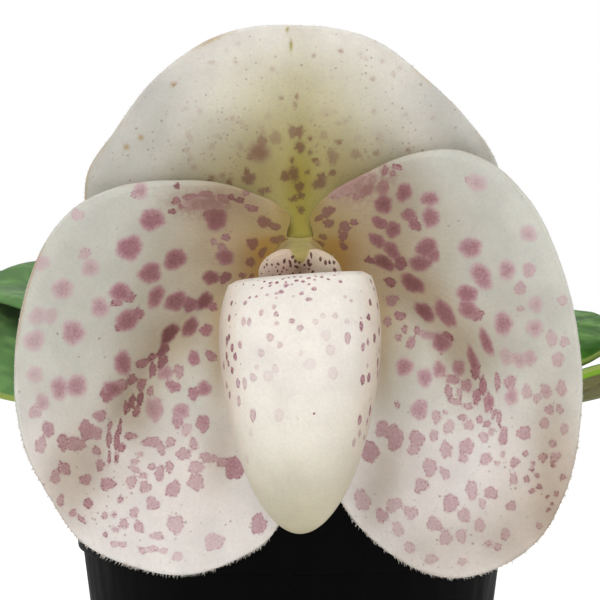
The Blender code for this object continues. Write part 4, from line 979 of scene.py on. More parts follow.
class Sheet:
    """A fine grid over (across, along), both from 0 to 1, that becomes one thin or hollow piece."""

    def __init__(self, name: str, columns: int, rows: int) -> None:
        """Adds the flat grid and notes where each of its vertices lies in it.

        Args:
            name: the piece's name.
            columns: how many cells it has across.
            rows: how many along.
        """
        deselect()
        bpy.ops.mesh.primitive_grid_add(x_subdivisions=columns, y_subdivisions=rows, size=1)
        self.obj = bpy.context.object
        self.obj.name = name
        flat = vertices(self.obj) * MM
        self.across = flat[:, 0] + 0.5
        self.along = flat[:, 1] + 0.5
        self.rows = rows

    def shape(self, points: Array, outwards: Array) -> None:
        """Moves the vertices to their places and turns the faces to one side.

        Args:
            points: a place for each vertex.
            outwards: a direction, or one for each vertex, that the faces look to.
        """
        place_vertices(self.obj, points)
        normals = np.zeros(len(points) * 3)
        self.obj.data.vertex_normals.foreach_get("vector", normals)
        if np.sum(normals.reshape(-1, 3) * outwards) < 0:
            self.obj.data.flip_normals()

    def row(self, back: int = 0) -> Array:
        """The numbers of the vertices in the row this many before the last, in order across the sheet."""
        row = np.flatnonzero(np.abs(self.along - 1 + back / self.rows) < 0.4 / self.rows)
        return row[np.argsort(self.across[row])]

    def keep(self, **zones: Array | float) -> None:
        """Stores named numbers for the sheet's materials: one for each vertex, or one for all of them."""
        for name, values in zones.items():
            keep(self.obj, name, np.full(len(self.along), values) if np.ndim(values) == 0 else values)

    def close(self) -> None:
        """Joins the vertices that fell on one place: the seam and the poles of a round piece."""
        select(self.obj)
        edit()
        bpy.ops.mesh.remove_doubles(threshold=MERGE)
        bpy.ops.mesh.dissolve_degenerate(threshold=MERGE)
        bpy.ops.object.mode_set(mode="OBJECT")

    def thicken(self, thickness: float, edge_share: float, offset: float = 0.0) -> None:
        """Gives the dressed sheet its thickness, less of it where its "rim" attribute is 1.

        Args:
            thickness: the full thickness.
            edge_share: the share of the thickness that is left at the margin.
            offset: -1 puts it all inside the sheet, 0 to both sides.
        """
        group = self.obj.vertex_groups.new(name="body")
        rim = np.zeros(len(self.obj.data.vertices))
        if "rim" in self.obj.data.attributes:
            self.obj.data.attributes["rim"].data.foreach_get("value", rim)
        steps = np.round((1 - rim) * 16).astype(int)
        for step in range(17):
            chosen = np.flatnonzero(steps == step)
            if len(chosen):
                group.add(chosen.tolist(), step / 16, "REPLACE")
        apply(
            self.obj,
            "SOLIDIFY",
            thickness=thickness * MM,
            offset=offset,
            use_quality_normals=True,
            vertex_group=group.name,
            thickness_vertex_group=edge_share,
            material_offset=1,
            material_offset_rim=0,
        )
        self.obj.vertex_groups.clear()

    def dress(self, *materials: Material) -> Piece:
        """Gives the piece its smooth shading and its skins.

        Args:
            materials: the outer side's, then the other side's.

        Returns:
            The piece.
        """
        select(self.obj)
        bpy.ops.object.shade_smooth()
        for material in materials:
            self.obj.data.materials.append(material)
        return self.obj


def hairs(name: str, roots: Array, ends: Array, width: float, material: Material) -> Piece:
    """A coat of fine hairs, each a slim three-sided spike with a slight bend.

    Args:
        name: the piece's name.
        roots: where each hair starts.
        ends: where each hair ends.
        width: a hair's width at its root.
        material: the hairs' finish.

    Returns:
        The one piece that holds them all.
    """
    draw = np.random.default_rng(len(roots))
    ahead = unit(ends - roots)
    aside = unit(np.cross(ahead, draw.normal(size=roots.shape)))
    third = np.cross(ahead, aside)
    bend = mix(roots, ends, 0.55) + aside * np.linalg.norm(ends - roots, axis=1, keepdims=True) * 0.1
    rings = []
    for centre, half in ((roots, width / 2), (bend, width / 3.2)):
        for k in range(3):
            turn = math.tau * k / 3
            rings.append(centre + (aside * math.cos(turn) + third * math.sin(turn)) * half)
    points = np.stack([*rings, ends], axis=1).reshape(-1, 3)
    pattern = [(0, 1, 4, 3), (1, 2, 5, 4), (2, 0, 3, 5), (3, 4, 6), (4, 5, 6), (5, 3, 6), (2, 1, 0)]
    faces = [tuple(7 * k + corner for corner in face) for k in range(len(roots)) for face in pattern]
    obj = new_piece(name, points, faces)
    keep(obj, "tip", np.tile([0, 0, 0, 0.6, 0.6, 0.6, 1], len(roots)))
    select(obj)
    bpy.ops.object.shade_smooth()
    obj.data.materials.append(material)
    return obj


def coat(points: Array, normals: Array, count: int, lengths: Pair, seed: int) -> tuple[Array, Array]:
    """Roots and ends of hairs that are scattered over a surface and lean up a little.

    Args:
        points: places on the surface.
        normals: the surface's normal at each.
        count: how many hairs.
        lengths: the shortest and the longest.
        seed: the seed of the scatter.

    Returns:
        The roots and the ends.
    """
    draw = np.random.default_rng(seed)
    chosen = draw.integers(0, len(points), count)
    ways = unit(normals[chosen] + 0.3 * UP + draw.normal(scale=0.22, size=(count, 3)))
    length = draw.uniform(*lengths, size=(count, 1))
    roots = points[chosen] + draw.normal(scale=0.06, size=(count, 3)) - normals[chosen] * 0.05
    return roots, roots + ways * length


@dataclass(frozen=True)
class Spots:
    """The spots of one sheet, each with a lobed outline of its own; small ones are crisper than big ones."""

    table: SpotTable
    seed: int
    lobing: float = 1.0
    strength: float = 1.0
    low_fade: float = 0.0

    def spread(self, points: Array) -> tuple[Array, Array, Array]:
        """Where the sheet's points lie in the spots.

        Args:
            points: the sheet's points.

        Returns:
            How far each lies inside the edge of the spot it is deepest in, that spot's depth of colour, and
            how crisp its edge is.
        """
        right, up = front_view(points)
        draw = random.Random(self.seed)
        inside = np.full(len(points), -3.0)
        depth, crispness = np.zeros((2, len(points)))
        for u, v, length, width, tone, *turned in self.table:
            away = (right - u) ** 2 + (up - v) ** 2 + 0.004 * (points[:, 1] - points[:, 1].min())
            nearest = int(np.argmin(away))
            centre = points[nearest] + np.array((u - right[nearest], 0, v - up[nearest]))
            offset = points - centre
            turn = math.radians(sum(turned))
            cosine, sine = math.cos(turn), math.sin(turn)
            long = offset[:, 0] * cosine + offset[:, 2] * sine
            wide = offset[:, 2] * cosine - offset[:, 0] * sine
            reach = np.sqrt((long / length) ** 2 + (wide**2 + offset[:, 1] ** 2) / width**2)
            angle = np.arctan2(wide / width, long / length)
            lobes, size = 1.0, math.sqrt(length * width)
            crisp = max(float(rise(-size, -1.25, -0.55)), 0.85 * float(rise(-v, 11, 19)))
            for count, share in ((2, 0.04), (3, 0.05), (5, 0.04), (8, 0.02), (13, 0.015)):
                share *= self.lobing * (1 + crisp)
                lobes = lobes + share * np.sin(count * angle + draw.uniform(0, math.tau))
            edge = (lobes - reach) * size
            deeper = edge > inside
            inside = np.where(deeper, edge, inside)
            tone *= self.strength * (1 - self.low_fade * float(rise(-v, 10, 26)))
            depth = np.where(deeper, tone, depth)
            crispness = np.where(deeper, crisp, crispness)
        return np.clip(inside, -2, 2), depth, crispness

    def mark(self, obj: Piece, points: Array) -> None:
        """Keeps on a sheet's mesh where its points lie in the spots."""
        for name, values in zip(("spot", "spot_depth", "spot_edge"), self.spread(points)):
            keep(obj, name, values)


@dataclass(frozen=True)
class Reach:
    """How far a petal or a sepal spreads at each angle: a smooth curve through a short table."""

    table: Pairs

    def angle(self, share: Array) -> Array:
        """The angles at these shares of the way from the first to the last."""
        return mix(self.table[0][0], self.table[-1][0], share)

    def at(self, angle: Array) -> Array:
        """The curve's reach.

        Args:
            angle: the angles, in degrees.

        Returns:
            The reach at each.
        """
        angles, reaches = np.array(self.table, float).T
        slopes = np.gradient(reaches, angles)
        i = np.clip(np.searchsorted(angles, angle) - 1, 0, len(angles) - 2)
        span = angles[i + 1] - angles[i]
        t = (angle - angles[i]) / span
        start = (2 * t**3 - 3 * t**2 + 1) * reaches[i] + (t**3 - 2 * t**2 + t) * span * slopes[i]
        end = (3 * t**2 - 2 * t**3) * reaches[i + 1] + (t**3 - t**2) * span * slopes[i + 1]
        return start + end


def margin_hairs(edge: Array, outwards: Array, spacing: float, lengths: Pair, seed: int) -> tuple:
    """Roots and ends of the hairs that fringe a margin.

    Args:
        edge: points along the margin, in order.
        outwards: the direction away from the blade at each.
        spacing: the mean distance from hair to hair.
        lengths: the shortest and the longest hair.
        seed: the seed of the scatter.

    Returns:
        The roots and the ends.
    """
    draw = np.random.default_rng(seed)
    steps = np.linalg.norm(np.diff(edge, axis=0), axis=1)
    walked = np.concatenate([[0], np.cumsum(steps)])
    count = int(walked[-1] / spacing)
    places = np.sort(draw.uniform(0, walked[-1], count))
    roots, ways = between(places, walked, edge), between(places, walked, outwards)
    ways = unit(unit(ways) + draw.normal(scale=0.3, size=ways.shape))
    lengths = draw.uniform(*lengths, size=(count, 1))
    return roots - ways * 0.12, roots + ways * lengths


class Side(Enum):
    """Which of the two petals, as the viewer sees them."""

    LEFT = -1
    RIGHT = 1


@dataclass
class Petal:
    """One of the two broad side petals, hollow along a creased midrib and arched over the lip."""

    side: Side
    reach: Reach
    spots: Spots
    columns: int = 380
    rows: int = 112
    thickness: float = 0.8
    foot_radius: float = 3.4
    foot_angles: Pair = (-46, 62)
    length: float = 47
    hollow: float = 7.2
    hollow_reach: float = 9
    tip_sweep: float = 11.0
    midrib: Pair = (-15, -0.8)
    curls: Pair = (0.0105, 0.0145)
    crease: Pair = (1.1, 2.4)
    crease_swing: float = 0.0
    crease_start: Pair = (0, 1)
    blush: Oval = (13.0, 13.0, 5.2, 1.9, 0)
    shadows: tuple[tuple[float, Oval], ...] = ()
    edge_share: float = 0.45
    hair_lengths: Pair = (0.28, 0.72)
    hair_spacing: float = 0.13
    hair_width: float = 0.11
    hair_seed: int = 31

    def depth(self, angle: Array, radius: Array) -> tuple[Array, Array]:
        """The hollow form of the blade.

        Args:
            angle: the direction from the foot, in degrees.
            radius: the distance from it.

        Returns:
            How far back it lies, and how far to the midrib's side.
        """
        swing = np.radians(angle - (self.midrib[0] + self.midrib[1] * radius))
        aside = radius * np.sin(np.clip(swing, -math.pi / 2, math.pi / 2))
        hollow = self.hollow * (1 - np.exp(-(radius - self.foot_radius) / self.hollow_reach))
        rib = hollow - self.tip_sweep * (radius / self.length) ** 4
        curl = np.where(aside > 0, self.curls[0], self.curls[1]) * aside**2
        crease = self.crease[0] * hump(aside, 0, self.crease[1])
        crease *= rise(radius, 6, 16) * rise(self.length - 3 - radius, 0, 10)
        return 0.2 + rib * np.cos(swing / 2) ** 2 - curl + crease, aside

    def build(self, skin: Material, reverse: Material, down: Material) -> None:
        """Makes the blade and its fringe of hairs.

        Args:
            skin: the front's finish.
            reverse: the back's finish.
            down: the hairs' finish.
        """
        name = f"petal_{self.side.name.lower()}"
        sheet = Sheet(f"{name}_blade", self.columns, self.rows)
        edge_angle = self.reach.angle(sheet.across)
        radius = mix(self.foot_radius, self.reach.at(edge_angle), sheet.along)
        angle = mix(mix(*self.foot_angles, sheet.across), edge_angle, rise(sheet.along, 0, 0.85))
        depth, aside = self.depth(angle, radius)
        turn = np.radians(angle)
        points = bloom_points(self.side.value * radius * np.cos(turn), depth, radius * np.sin(turn))
        ruffle = waves(points[:, [0, 2]], 16, 7 + self.side.value) * rise(sheet.along, 0.5, 1.0) * 0.25
        points[:, 1] += ruffle + waves(points[:, [0, 2]], 6.5, 17 + self.side.value) * 0.05
        sheet.shape(points, FRONT)
        self.colour_zones(sheet, points, radius, aside)
        margin = points[sheet.row()]
        outwards = margin - points[sheet.row(2)]
        roots, ends = margin_hairs(margin, outwards, self.hair_spacing, self.hair_lengths, self.hair_seed)
        low = rise(-front_view(roots)[1], 8, 24)
        ends = roots + (ends - roots) * mix(0.5, 1.0, low)[:, None]
        clear = (roots[:, 2] < BLOOM[2] + 4) | (np.abs(roots[:, 0] - BLOOM[0]) > 24)
        roots, ends = roots[clear], ends[clear]
        sheet.keep(rim=rise(sheet.along, 0.94, 1.0))
        sheet.dress(skin, reverse)
        sheet.thicken(self.thickness, self.edge_share)
        hand_in(sheet.obj, Skin.PETAL, name)
        hand_in(hairs(f"{name}_hairs", roots, ends, self.hair_width, down), Skin.PETAL)

    def colour_zones(self, sheet: Sheet, points: Array, radius: Array, aside: Array) -> None:
        """Keeps where the blade is tan, olive, rusty, shaded, veined, specked and spotted.

        Args:
            sheet: the blade.
            points: its points.
            radius: their distance from the foot.
            aside: how far they lie to the midrib's side.
        """
        right, up = front_view(points)
        right = right * self.side.value
        foot = np.hypot(right, up - FOOT_UP)
        swing = np.radians(self.crease_swing * (1 - rise(radius, 13, 36)))
        fold = aside * np.cos(swing) - radius * np.sin(swing)
        along_crease = hump(fold, 0, 4.2) * (1 - rise(radius, 15, 36)) * rise(radius, *self.crease_start)
        # Tan at the foot is the throat's own colour; along the crease the tan also darkens the fold as
        # painted shade.
        sheet.keep(tan=np.maximum(1 - rise(foot, 8, 24), along_crease * 0.8))
        beside_strip = (1 - rise(right, 1.5, 5.5)) * rise(up, 5, 9)
        above = rise(up, 7.5, 10.5)
        sheet.keep(olive=np.maximum((1 - rise(foot, 4.5, 11.5)) * 0.9 * above, beside_strip * 0.95))
        beside_shield = (1 - rise(foot, 4.6, 10.5)) * (1 - above)
        # A brownish band just beside the lip: painted shade of the lip, in the rust colour.
        beside_lip = hump(right, 10.8, 1.4) * rise(up, -20, -8) * (1 - rise(up, -2, 4)) * 0.35
        at_side = rise(right, 30, 36) * rise(up, -9, -4) * (1 - rise(up, 5, 10)) * (self.side is Side.LEFT)
        worn = np.maximum(0.7 * at_side, 0.25 * rise(waves(points, 11, 71), 0.1, 0.6) * rise(foot, 18, 24))
        worn *= rise(sheet.along, 0.992, 1.0) * 0.7
        sheet.keep(rust=np.maximum.reduce([beside_lip, worn, beside_shield]))
        sheet.keep(shade=rise(up, -24, -6))
        sheet.keep(blush=oval(right, up, self.blush) * (0.9 if self.side is Side.RIGHT else 0.74))
        # Painted shadows: the ovals and the crease darken the blade as painted shade.
        dusk = sum(share * oval(right, up, place) for share, place in self.shadows)
        sheet.keep(dusk=np.clip(dusk + along_crease * 0.3, 0, 1))
        sheet.keep(vein=sheet.across * 75)
        near_crease = hump(aside, 0, 3.5) * rise(radius, 22, 34) * (1 - rise(radius, 41, 46))
        specks = 0.06 + 0.5 * near_crease + 0.3 * rise(radius, 30, 44) * (aside < 0)
        specks += 0.6 * (1 - rise(foot, 6, 14))
        sheet.keep(specks=specks)
        self.spots.mark(sheet.obj, points)


@dataclass
class DorsalSepal:
    """The broad hooded sepal that stands behind and above the petals."""

    reach: Reach
    spots: Spots
    columns: int = 240
    rows: int = 90
    thickness: float = 0.8
    foot_radius: float = 2.2
    foot_depth: float = 1.4
    length: float = 31
    lean: float = 4.5
    hood: float = 11.5
    edge_share: float = 0.45
    hair_lengths: Pair = (0.15, 0.4)
    hair_spacing: float = 0.35
    hair_width: float = 0.08
    hair_seed: int = 37

    def depth(self, angle: Array, radius: Array) -> Array:
        """The hooded form of the blade.

        Args:
            angle: the direction from the foot, in degrees.
            radius: the distance from it.

        Returns:
            How far back it lies.
        """
        lean = self.lean * (1 - np.exp(-np.maximum(radius - 3.6, 0) / 7))
        hood = self.hood * np.maximum(np.cos(np.radians(angle)), 0) ** 1.3 * (radius / self.length) ** 3
        aside = radius * np.sin(np.radians(angle))
        keel = 0.5 * hump(aside, 0, 1.6) * rise(radius, 4, 12)
        return self.foot_depth + lean - hood + keel

    def build(self, skin: Material, reverse: Material, down: Material) -> None:
        """Makes the blade and its fringe of hairs.

        Args:
            skin: the front's finish.
            reverse: the back's finish.
            down: the hairs' finish.
        """
        sheet = Sheet("dorsal_blade", self.columns, self.rows)
        edge_angle = self.reach.angle(sheet.across)
        angle = edge_angle * mix(0.62, 1.0, rise(sheet.along, 0, 0.7))
        radius = mix(self.foot_radius, self.reach.at(edge_angle), sheet.along)
        turn = np.radians(90 - angle)
        points = bloom_points(radius * np.cos(turn), self.depth(angle, radius), radius * np.sin(turn))
        points[:, 1] += waves(points[:, [0, 2]], 13, 5) * rise(sheet.along, 0.5, 1.0) * 0.25
        sheet.shape(points, FRONT)
        right, up = front_view(points)
        foot = np.hypot(right, up - FOOT_UP)
        flush = hump(right, 0, mix(4.6, 3.4, rise(up, 8, 30))) * mix(1.0, 0.16, rise(up, 15, 31))
        glow = hump(right, -0.6, mix(13, 9, rise(up, 10, 32))) * mix(0.66, 0.06, rise(up, 19, 31))
        dashes = hump(right, -1.3, 0.22) * hump(up, 34.3, 0.7), hump(right, -1.7, 0.2) * hump(up, 36.3, 0.3)
        sheet.keep(olive=np.clip(np.maximum(flush, glow) + np.maximum(*dashes), 0, 1))
        yellow = hump(right, -0.4, 10) * (1 - rise(up, 28, 37)) * 0.68
        sheet.keep(tan=np.maximum((1 - rise(foot, 9, 25)) * 0.9, yellow))
        ochre = Spots(OCHRE_SPECKS, 2, 0.2).spread(points)[0]
        places = np.maximum(hump(np.degrees(np.arctan2(right, up)), -62, 7), hump(right, -12, 2.2))
        worn = np.maximum(places * 0.6, 0.25 * rise(waves(points, 9, 61), 0.1, 0.6))
        worn = rise(sheet.along, 0.985, 1.0) * worn
        sheet.keep(rust=np.maximum(rise(ochre, -0.25, 0.2) * 0.8, worn))
        # The edges and the lower blade are painted darker as shade.
        at_edge = rise(sheet.along, 0.74, 0.98) * rise(np.abs(angle), 15, 45)
        low = 1 - rise(up, 17, 33)
        sheet.keep(shade=np.clip(at_edge + 0.9 * low * (1 - 0.7 * rise(right, 9, 17)), 0, 1))
        middle = (1 - rise(np.abs(right), 12, 25)) * mix(0.6, 1, rise(np.abs(right), 1, 6))
        # Painted shade: darker low on the blade, most in its middle, and at its edges.
        dusk = (1 - rise(up, 15, 29)) * (0.12 * (1 - rise(right, 9, 17)) + 0.55 * middle)
        sheet.keep(dusk=dusk * mix(0.15, 1, rise(up, 9, 17)) + 0.15 * at_edge)
        sheet.keep(blush=0.0)
        sheet.keep(vein=sheet.across * 48)
        sheet.keep(specks=0.2 + 0.8 * rise(foot, 8, 16) * (1 - rise(foot, 20, 30)))
        self.spots.mark(sheet.obj, points)
        margin = points[sheet.row()]
        outwards = unit(margin - BLOOM)
        roots, ends = margin_hairs(margin, outwards, self.hair_spacing, self.hair_lengths, self.hair_seed)
        sheet.keep(rim=rise(sheet.along, 0.93, 1.0))
        sheet.dress(skin, reverse)
        sheet.thicken(self.thickness, self.edge_share)
        hand_in(sheet.obj, Skin.PETAL, "dorsal_sepal")
        hand_in(hairs("dorsal_hairs", roots, ends, self.hair_width, down), Skin.PETAL)


@dataclass
class Synsepal:
    """The two lower sepals, grown together behind the lip."""

    columns: int = 110
    rows: int = 70
    thickness: float = 0.8
    foot_radius: float = 2.2
    foot_depth: float = 1.4
    length: float = 24
    lean: float = 9.0
    curl: float = 3.0
    edge_share: float = 0.45

    def build(self, skin: Material, reverse: Material) -> None:
        """Makes the blade.

        Args:
            skin: the front's finish.
            reverse: the back's finish.
        """
        sheet = Sheet("synsepal_blade", self.columns, self.rows)
        v = 2 * sheet.across - 1
        angle = v * mix(38, 46, rise(sheet.along, 0, 0.6))
        radius = mix(self.foot_radius, self.length * np.sqrt(1 - 0.34 * v * v), sheet.along)
        lean = self.lean * (1 - np.exp(-np.maximum(radius - 3.6, 0) / 6))
        depth = self.foot_depth + lean - self.curl * (radius / self.length) ** 3
        turn = np.radians(angle - 90)
        points = bloom_points(radius * np.cos(turn), depth, radius * np.sin(turn))
        sheet.shape(points, FRONT)
        foot = np.hypot(points[:, 0] - BLOOM[0], points[:, 2] - BLOOM[2])
        sheet.keep(olive=(1 - rise(foot, 4, 14)) * 0.8)
        sheet.keep(tan=1 - rise(foot, 9, 22))
        sheet.keep(rust=0, blush=0, spot_depth=0, spot_edge=0)
        sheet.keep(shade=rise(sheet.along, 0.7, 1.0))
        # Darker near the foot: painted shade.
        sheet.keep(dusk=(1 - rise(foot, 8, 20)) * 0.3)
        sheet.keep(vein=sheet.across * 26)
        sheet.keep(specks=0.7)
        sheet.keep(spot=-2.0)
        sheet.keep(rim=rise(sheet.along, 0.93, 1.0))
        sheet.dress(skin, reverse)
        sheet.thicken(self.thickness, self.edge_share)
        hand_in(sheet.obj, Skin.PETAL, "synsepal")


@dataclass
class Pouch:
    """The lip: an egg-shaped slipper with a wide mouth."""

    spots: Spots
    columns: int = 240
    rows: int = 150
    half_width: float = 10.25
    widest: float = -9.5
    bottom: float = -34.8
    rim: float = -2.7
    front: float = -23.8
    toe: float = -12.2
    back: float = -1.7
    squareness: float = 2.3
    rim_tilt: float = 0.6
    margin: float = 0.06
    wall: float = 0.8

    def ring(self, height: Array) -> tuple[Array, Array, Array]:
        """The pouch's section, level by level.

        Args:
            height: the heights.

        Returns:
            Its half width, and the depth of its front and of its back wall.
        """
        below = np.clip((self.widest - height) / (self.widest - self.bottom), 0, 1)
        share = np.maximum(1 - below**1.75, 0)
        above = np.clip((height - self.widest) / (self.rim - self.widest), 0, 1)
        low = height < self.widest
        half = np.where(low, self.half_width * share**0.52, self.half_width * (1 - 0.11 * above**2.2))
        front = np.where(low, mix(self.toe, self.front, share**0.62), self.front + 2.4 * above**2)
        back = np.where(low, mix(self.toe, self.back, share**0.55), self.back - 0.2 * above)
        return half, front, back

    def surface(self, turn: Array, along: Array) -> tuple[Array, Array, Array]:
        """The pouch's outer surface.

        Args:
            turn: the angle round it.
            along: the share of the way from its toe to its rim.

        Returns:
            How far right, back and up each point lies.
        """
        height = mix(self.bottom, self.rim, np.sin(along * math.pi / 2) ** 1.6)
        half, front, back = self.ring(height)
        cosine, sine = np.cos(turn), np.sin(turn)
        power = self.squareness
        stretch = (np.abs(cosine) ** power + np.abs(sine) ** power) ** (-1 / power)
        across, deep = cosine * stretch, sine * stretch
        near_rim = rise(height, self.widest, self.rim)
        lift = np.where(deep < 0, -0.3, -1.0) * deep + self.rim_tilt * across
        return half * across, mix(front, back, 0.5 + 0.5 * deep), height + lift * near_rim

    def build(self, skin: Material, lining: Material) -> None:
        """Makes the pouch.

        Args:
            skin: its outer finish.
            lining: its inner finish.
        """
        sheet = Sheet("pouch_shell", self.columns, self.rows)
        turn = sheet.across * math.tau
        fold = np.maximum((sheet.along - 1 + self.margin) / self.margin, 0)
        x, d, h = self.surface(turn, np.minimum(sheet.along / (1 - self.margin), 1))
        closing = mix(1, 0.9, fold)
        points = bloom_points(x * closing, self.toe + (d - self.toe) * closing, h + 0.5 * fold)
        outwards = points - np.array((BLOOM[0], BLOOM[1] + self.toe, BLOOM[2] - 14))
        sheet.shape(points, outwards)
        height = points[:, 2] - BLOOM[2]
        sideways = np.abs(points[:, 0] - BLOOM[0]) / self.half_width
        # The lower pouch is painted darker and more olive as shade; its right flank, turned from the key
        # lamp, and its sides are painted darker as shade.
        sheet.keep(shade=rise(-height, 12, 31))
        sheet.keep(olive=rise(-height, 22, 36) * 0.8)
        flank = (points[:, 0] - BLOOM[0]) / self.half_width
        dusk = (rise(flank, 0.15, 0.9) * 0.4 + rise(-flank, 0.3, 0.9) * 0.16) * rise(-height, 8, 22)
        sheet.keep(dusk=0.06 + rise(sideways, 0.75, 1.05) * 0.2 + rise(-height, 20, 34) * 0.32 + dusk)
        # Blush and tan towards the sides: partly the lip's own colour, partly painted shade of the walls that
        # turn away.
        sheet.keep(blush=rise(sideways, 0.9, 1.0) * 0.4)
        sheet.keep(tan=rise(sideways, 0.55, 1.05) * 0.8)
        sheet.keep(rust=hump(fold, 1, 0.6) * 0.15)
        sheet.keep(vein=sheet.across * 62)
        around = rise(sideways, 0.5, 0.9) * rise(height, -24, -14)
        sheet.keep(specks=0.25 * around + 0.8 * rise(points[:, 1] - BLOOM[1], -14, -8) + 0.9 * (fold > 0))
        self.spots.mark(sheet.obj, points)
        sheet.close()
        sheet.dress(skin, lining)
        sheet.thicken(self.wall, 1.0, offset=-1.0)
        hand_in(sheet.obj, Skin.POUCH, "lip_pouch")


@dataclass
class Staminode:
    """The two-lobed shield in front of the column, with a raised tongue over the dip between its lobes."""

    spots: Spots
    columns: int = 260
    rows: int = 60
    half_width: float = 5.3
    depth: float = -7.2
    centre: float = -1.6
    up: float = 3.3
    down: float = 4.2
    dome: float = 1.3
    thickness: float = 0.9
    edge_share: float = 0.5

    def build(self, skin: Material) -> None:
        """Makes the shield.

        Args:
            skin: its finish.
        """
        sheet = Sheet("staminode_shield", self.columns, self.rows)
        turn = sheet.across * math.tau
        cosine, sine = np.cos(turn), np.sin(turn)
        dip = 0.22 * hump(np.degrees(turn), 90, 15) * rise(sheet.along, 0, 1)
        x = self.half_width * cosine * sheet.along
        h = np.where(sine > 0, self.up, self.down) * sine * sheet.along * (1 - dip)
        tongue = 0.9 * hump(x, 0, 1.3) * rise(h, -0.2, 2.0)
        d = self.depth - self.dome * (1 - sheet.along**2) - tongue - 0.22 * h
        points = bloom_points(x, d, self.centre + h)
        sheet.shape(points, FRONT)
        tongue_half = 1.25 * np.sqrt(np.clip((h - 1.3) / 1.6, 0, 1))
        sheet.keep(olive=rise(tongue_half - np.abs(x), -0.2, 0.25) * 0.95)
        sheet.keep(blush=hump(x, 0, 1.6) * hump(h, 0.7, 0.8) * 0.3)
        sheet.keep(tan=hump(x, 0, 3.0) * 0.7)
        sheet.keep(rust=hump(x, -2.2, 2.4) * hump(h, 0, 2.0) * 0.5)
        sheet.keep(shade=rise(sheet.along, 0.8, 1.0))
        # A little darker all over and on the tongue's top: painted shade.
        sheet.keep(dusk=0.06 + 0.14 * rise(h, 1.5, 3.0) * hump(x, 0, 1.5))
        sheet.keep(vein=sheet.across * 30)
        sheet.keep(specks=0.0)
        self.spots.mark(sheet.obj, points)
        sheet.keep(rim=rise(sheet.along, 0.8, 1.0))
        sheet.close()
        sheet.dress(skin)
        sheet.thicken(self.thickness, self.edge_share)
        hand_in(sheet.obj, Skin.SHIELD, "staminode")


@dataclass(frozen=True)
class Line:
    """A smooth line through a few points, in millimetres."""

    points: tuple[Triple, ...]

    def at(self, share: Array) -> Array:
        """Points of the line.

        Args:
            share: the shares of its length.

        Returns:
            The point at each.
        """
        given = np.array(self.points, float)
        ends = np.vstack([2 * given[0] - given[1], given, 2 * given[-1] - given[-2]])
        place = np.clip(share, 0, 1) * (len(given) - 1)
        i = np.minimum(place.astype(int), len(given) - 2)
        t = (place - i)[:, None]
        a, b, c, d = (ends[i + k] for k in range(4))
        bend = (2 * a - 5 * b + 4 * c - d) * t**2 + (3 * b - a - 3 * c + d) * t**3
        return 0.5 * (2 * b + (c - a) * t + bend)

    def ahead(self, share: Array) -> Array:
        """The line's direction at these shares."""
        share = np.clip(share, 0.004, 0.996)
        return unit(self.at(share + 0.004) - self.at(share - 0.004))


def stalk_line(table: Pairs) -> Line:
    """A line of the stalk from its (y, z) points; it leans to the bloom's middle as it comes forward."""
    return Line(tuple((BLOOM[0] * float(rise(-5.5 - y, 0, 40)), y, z) for y, z in table))


@dataclass
class Stem:
    """A round piece along a line: a stalk, an ovary or a column."""

    name: str
    line: Line
    radii: tuple[float, ...]
    columns: int = 40
    rows: int = 60
    ribs: int = 0
    rib_depth: float = 0.0

    def build(self, skin: Material, kind: Skin, node: str) -> tuple[Array, Array]:
        """Makes the piece, closed at both ends.

        Args:
            skin: its finish.
            kind: its material slot.
            node: the solid that it stands for.

        Returns:
            Its points and their outward directions, to set hairs on.
        """
        sheet = Sheet(self.name, self.columns, self.rows)
        turn = sheet.across * math.tau
        step = sheet.along * self.rows
        share = np.clip((step - 2) / (self.rows - 4), 0, 1)
        open_share = np.clip(np.minimum(step, self.rows - step) / 2, 0, 1) ** 0.5
        ahead = self.line.ahead(share)
        side = unit(np.cross(ahead, np.array((0, 0.02, 1.0))))
        up = np.cross(side, ahead)
        radius = np.interp(share * (len(self.radii) - 1), np.arange(len(self.radii)), self.radii)
        radius = radius * (1 + self.rib_depth * np.cos(self.ribs * turn)) * open_share
        ways = side * np.cos(turn)[:, None] + up * np.sin(turn)[:, None]
        points = self.line.at(share) + ways * radius[:, None]
        sheet.shape(points, ways)
        # The sides of the piece; the column's skin paints them browner and darker, partly as painted shade.
        sheet.keep(flank=rise(np.abs(ways[:, 0]), 0.4, 0.75))
        sheet.close()
        hand_in(sheet.dress(skin), kind, node)
        body = (step > 2) & (step < self.rows - 2)
        return points[body], ways[body]


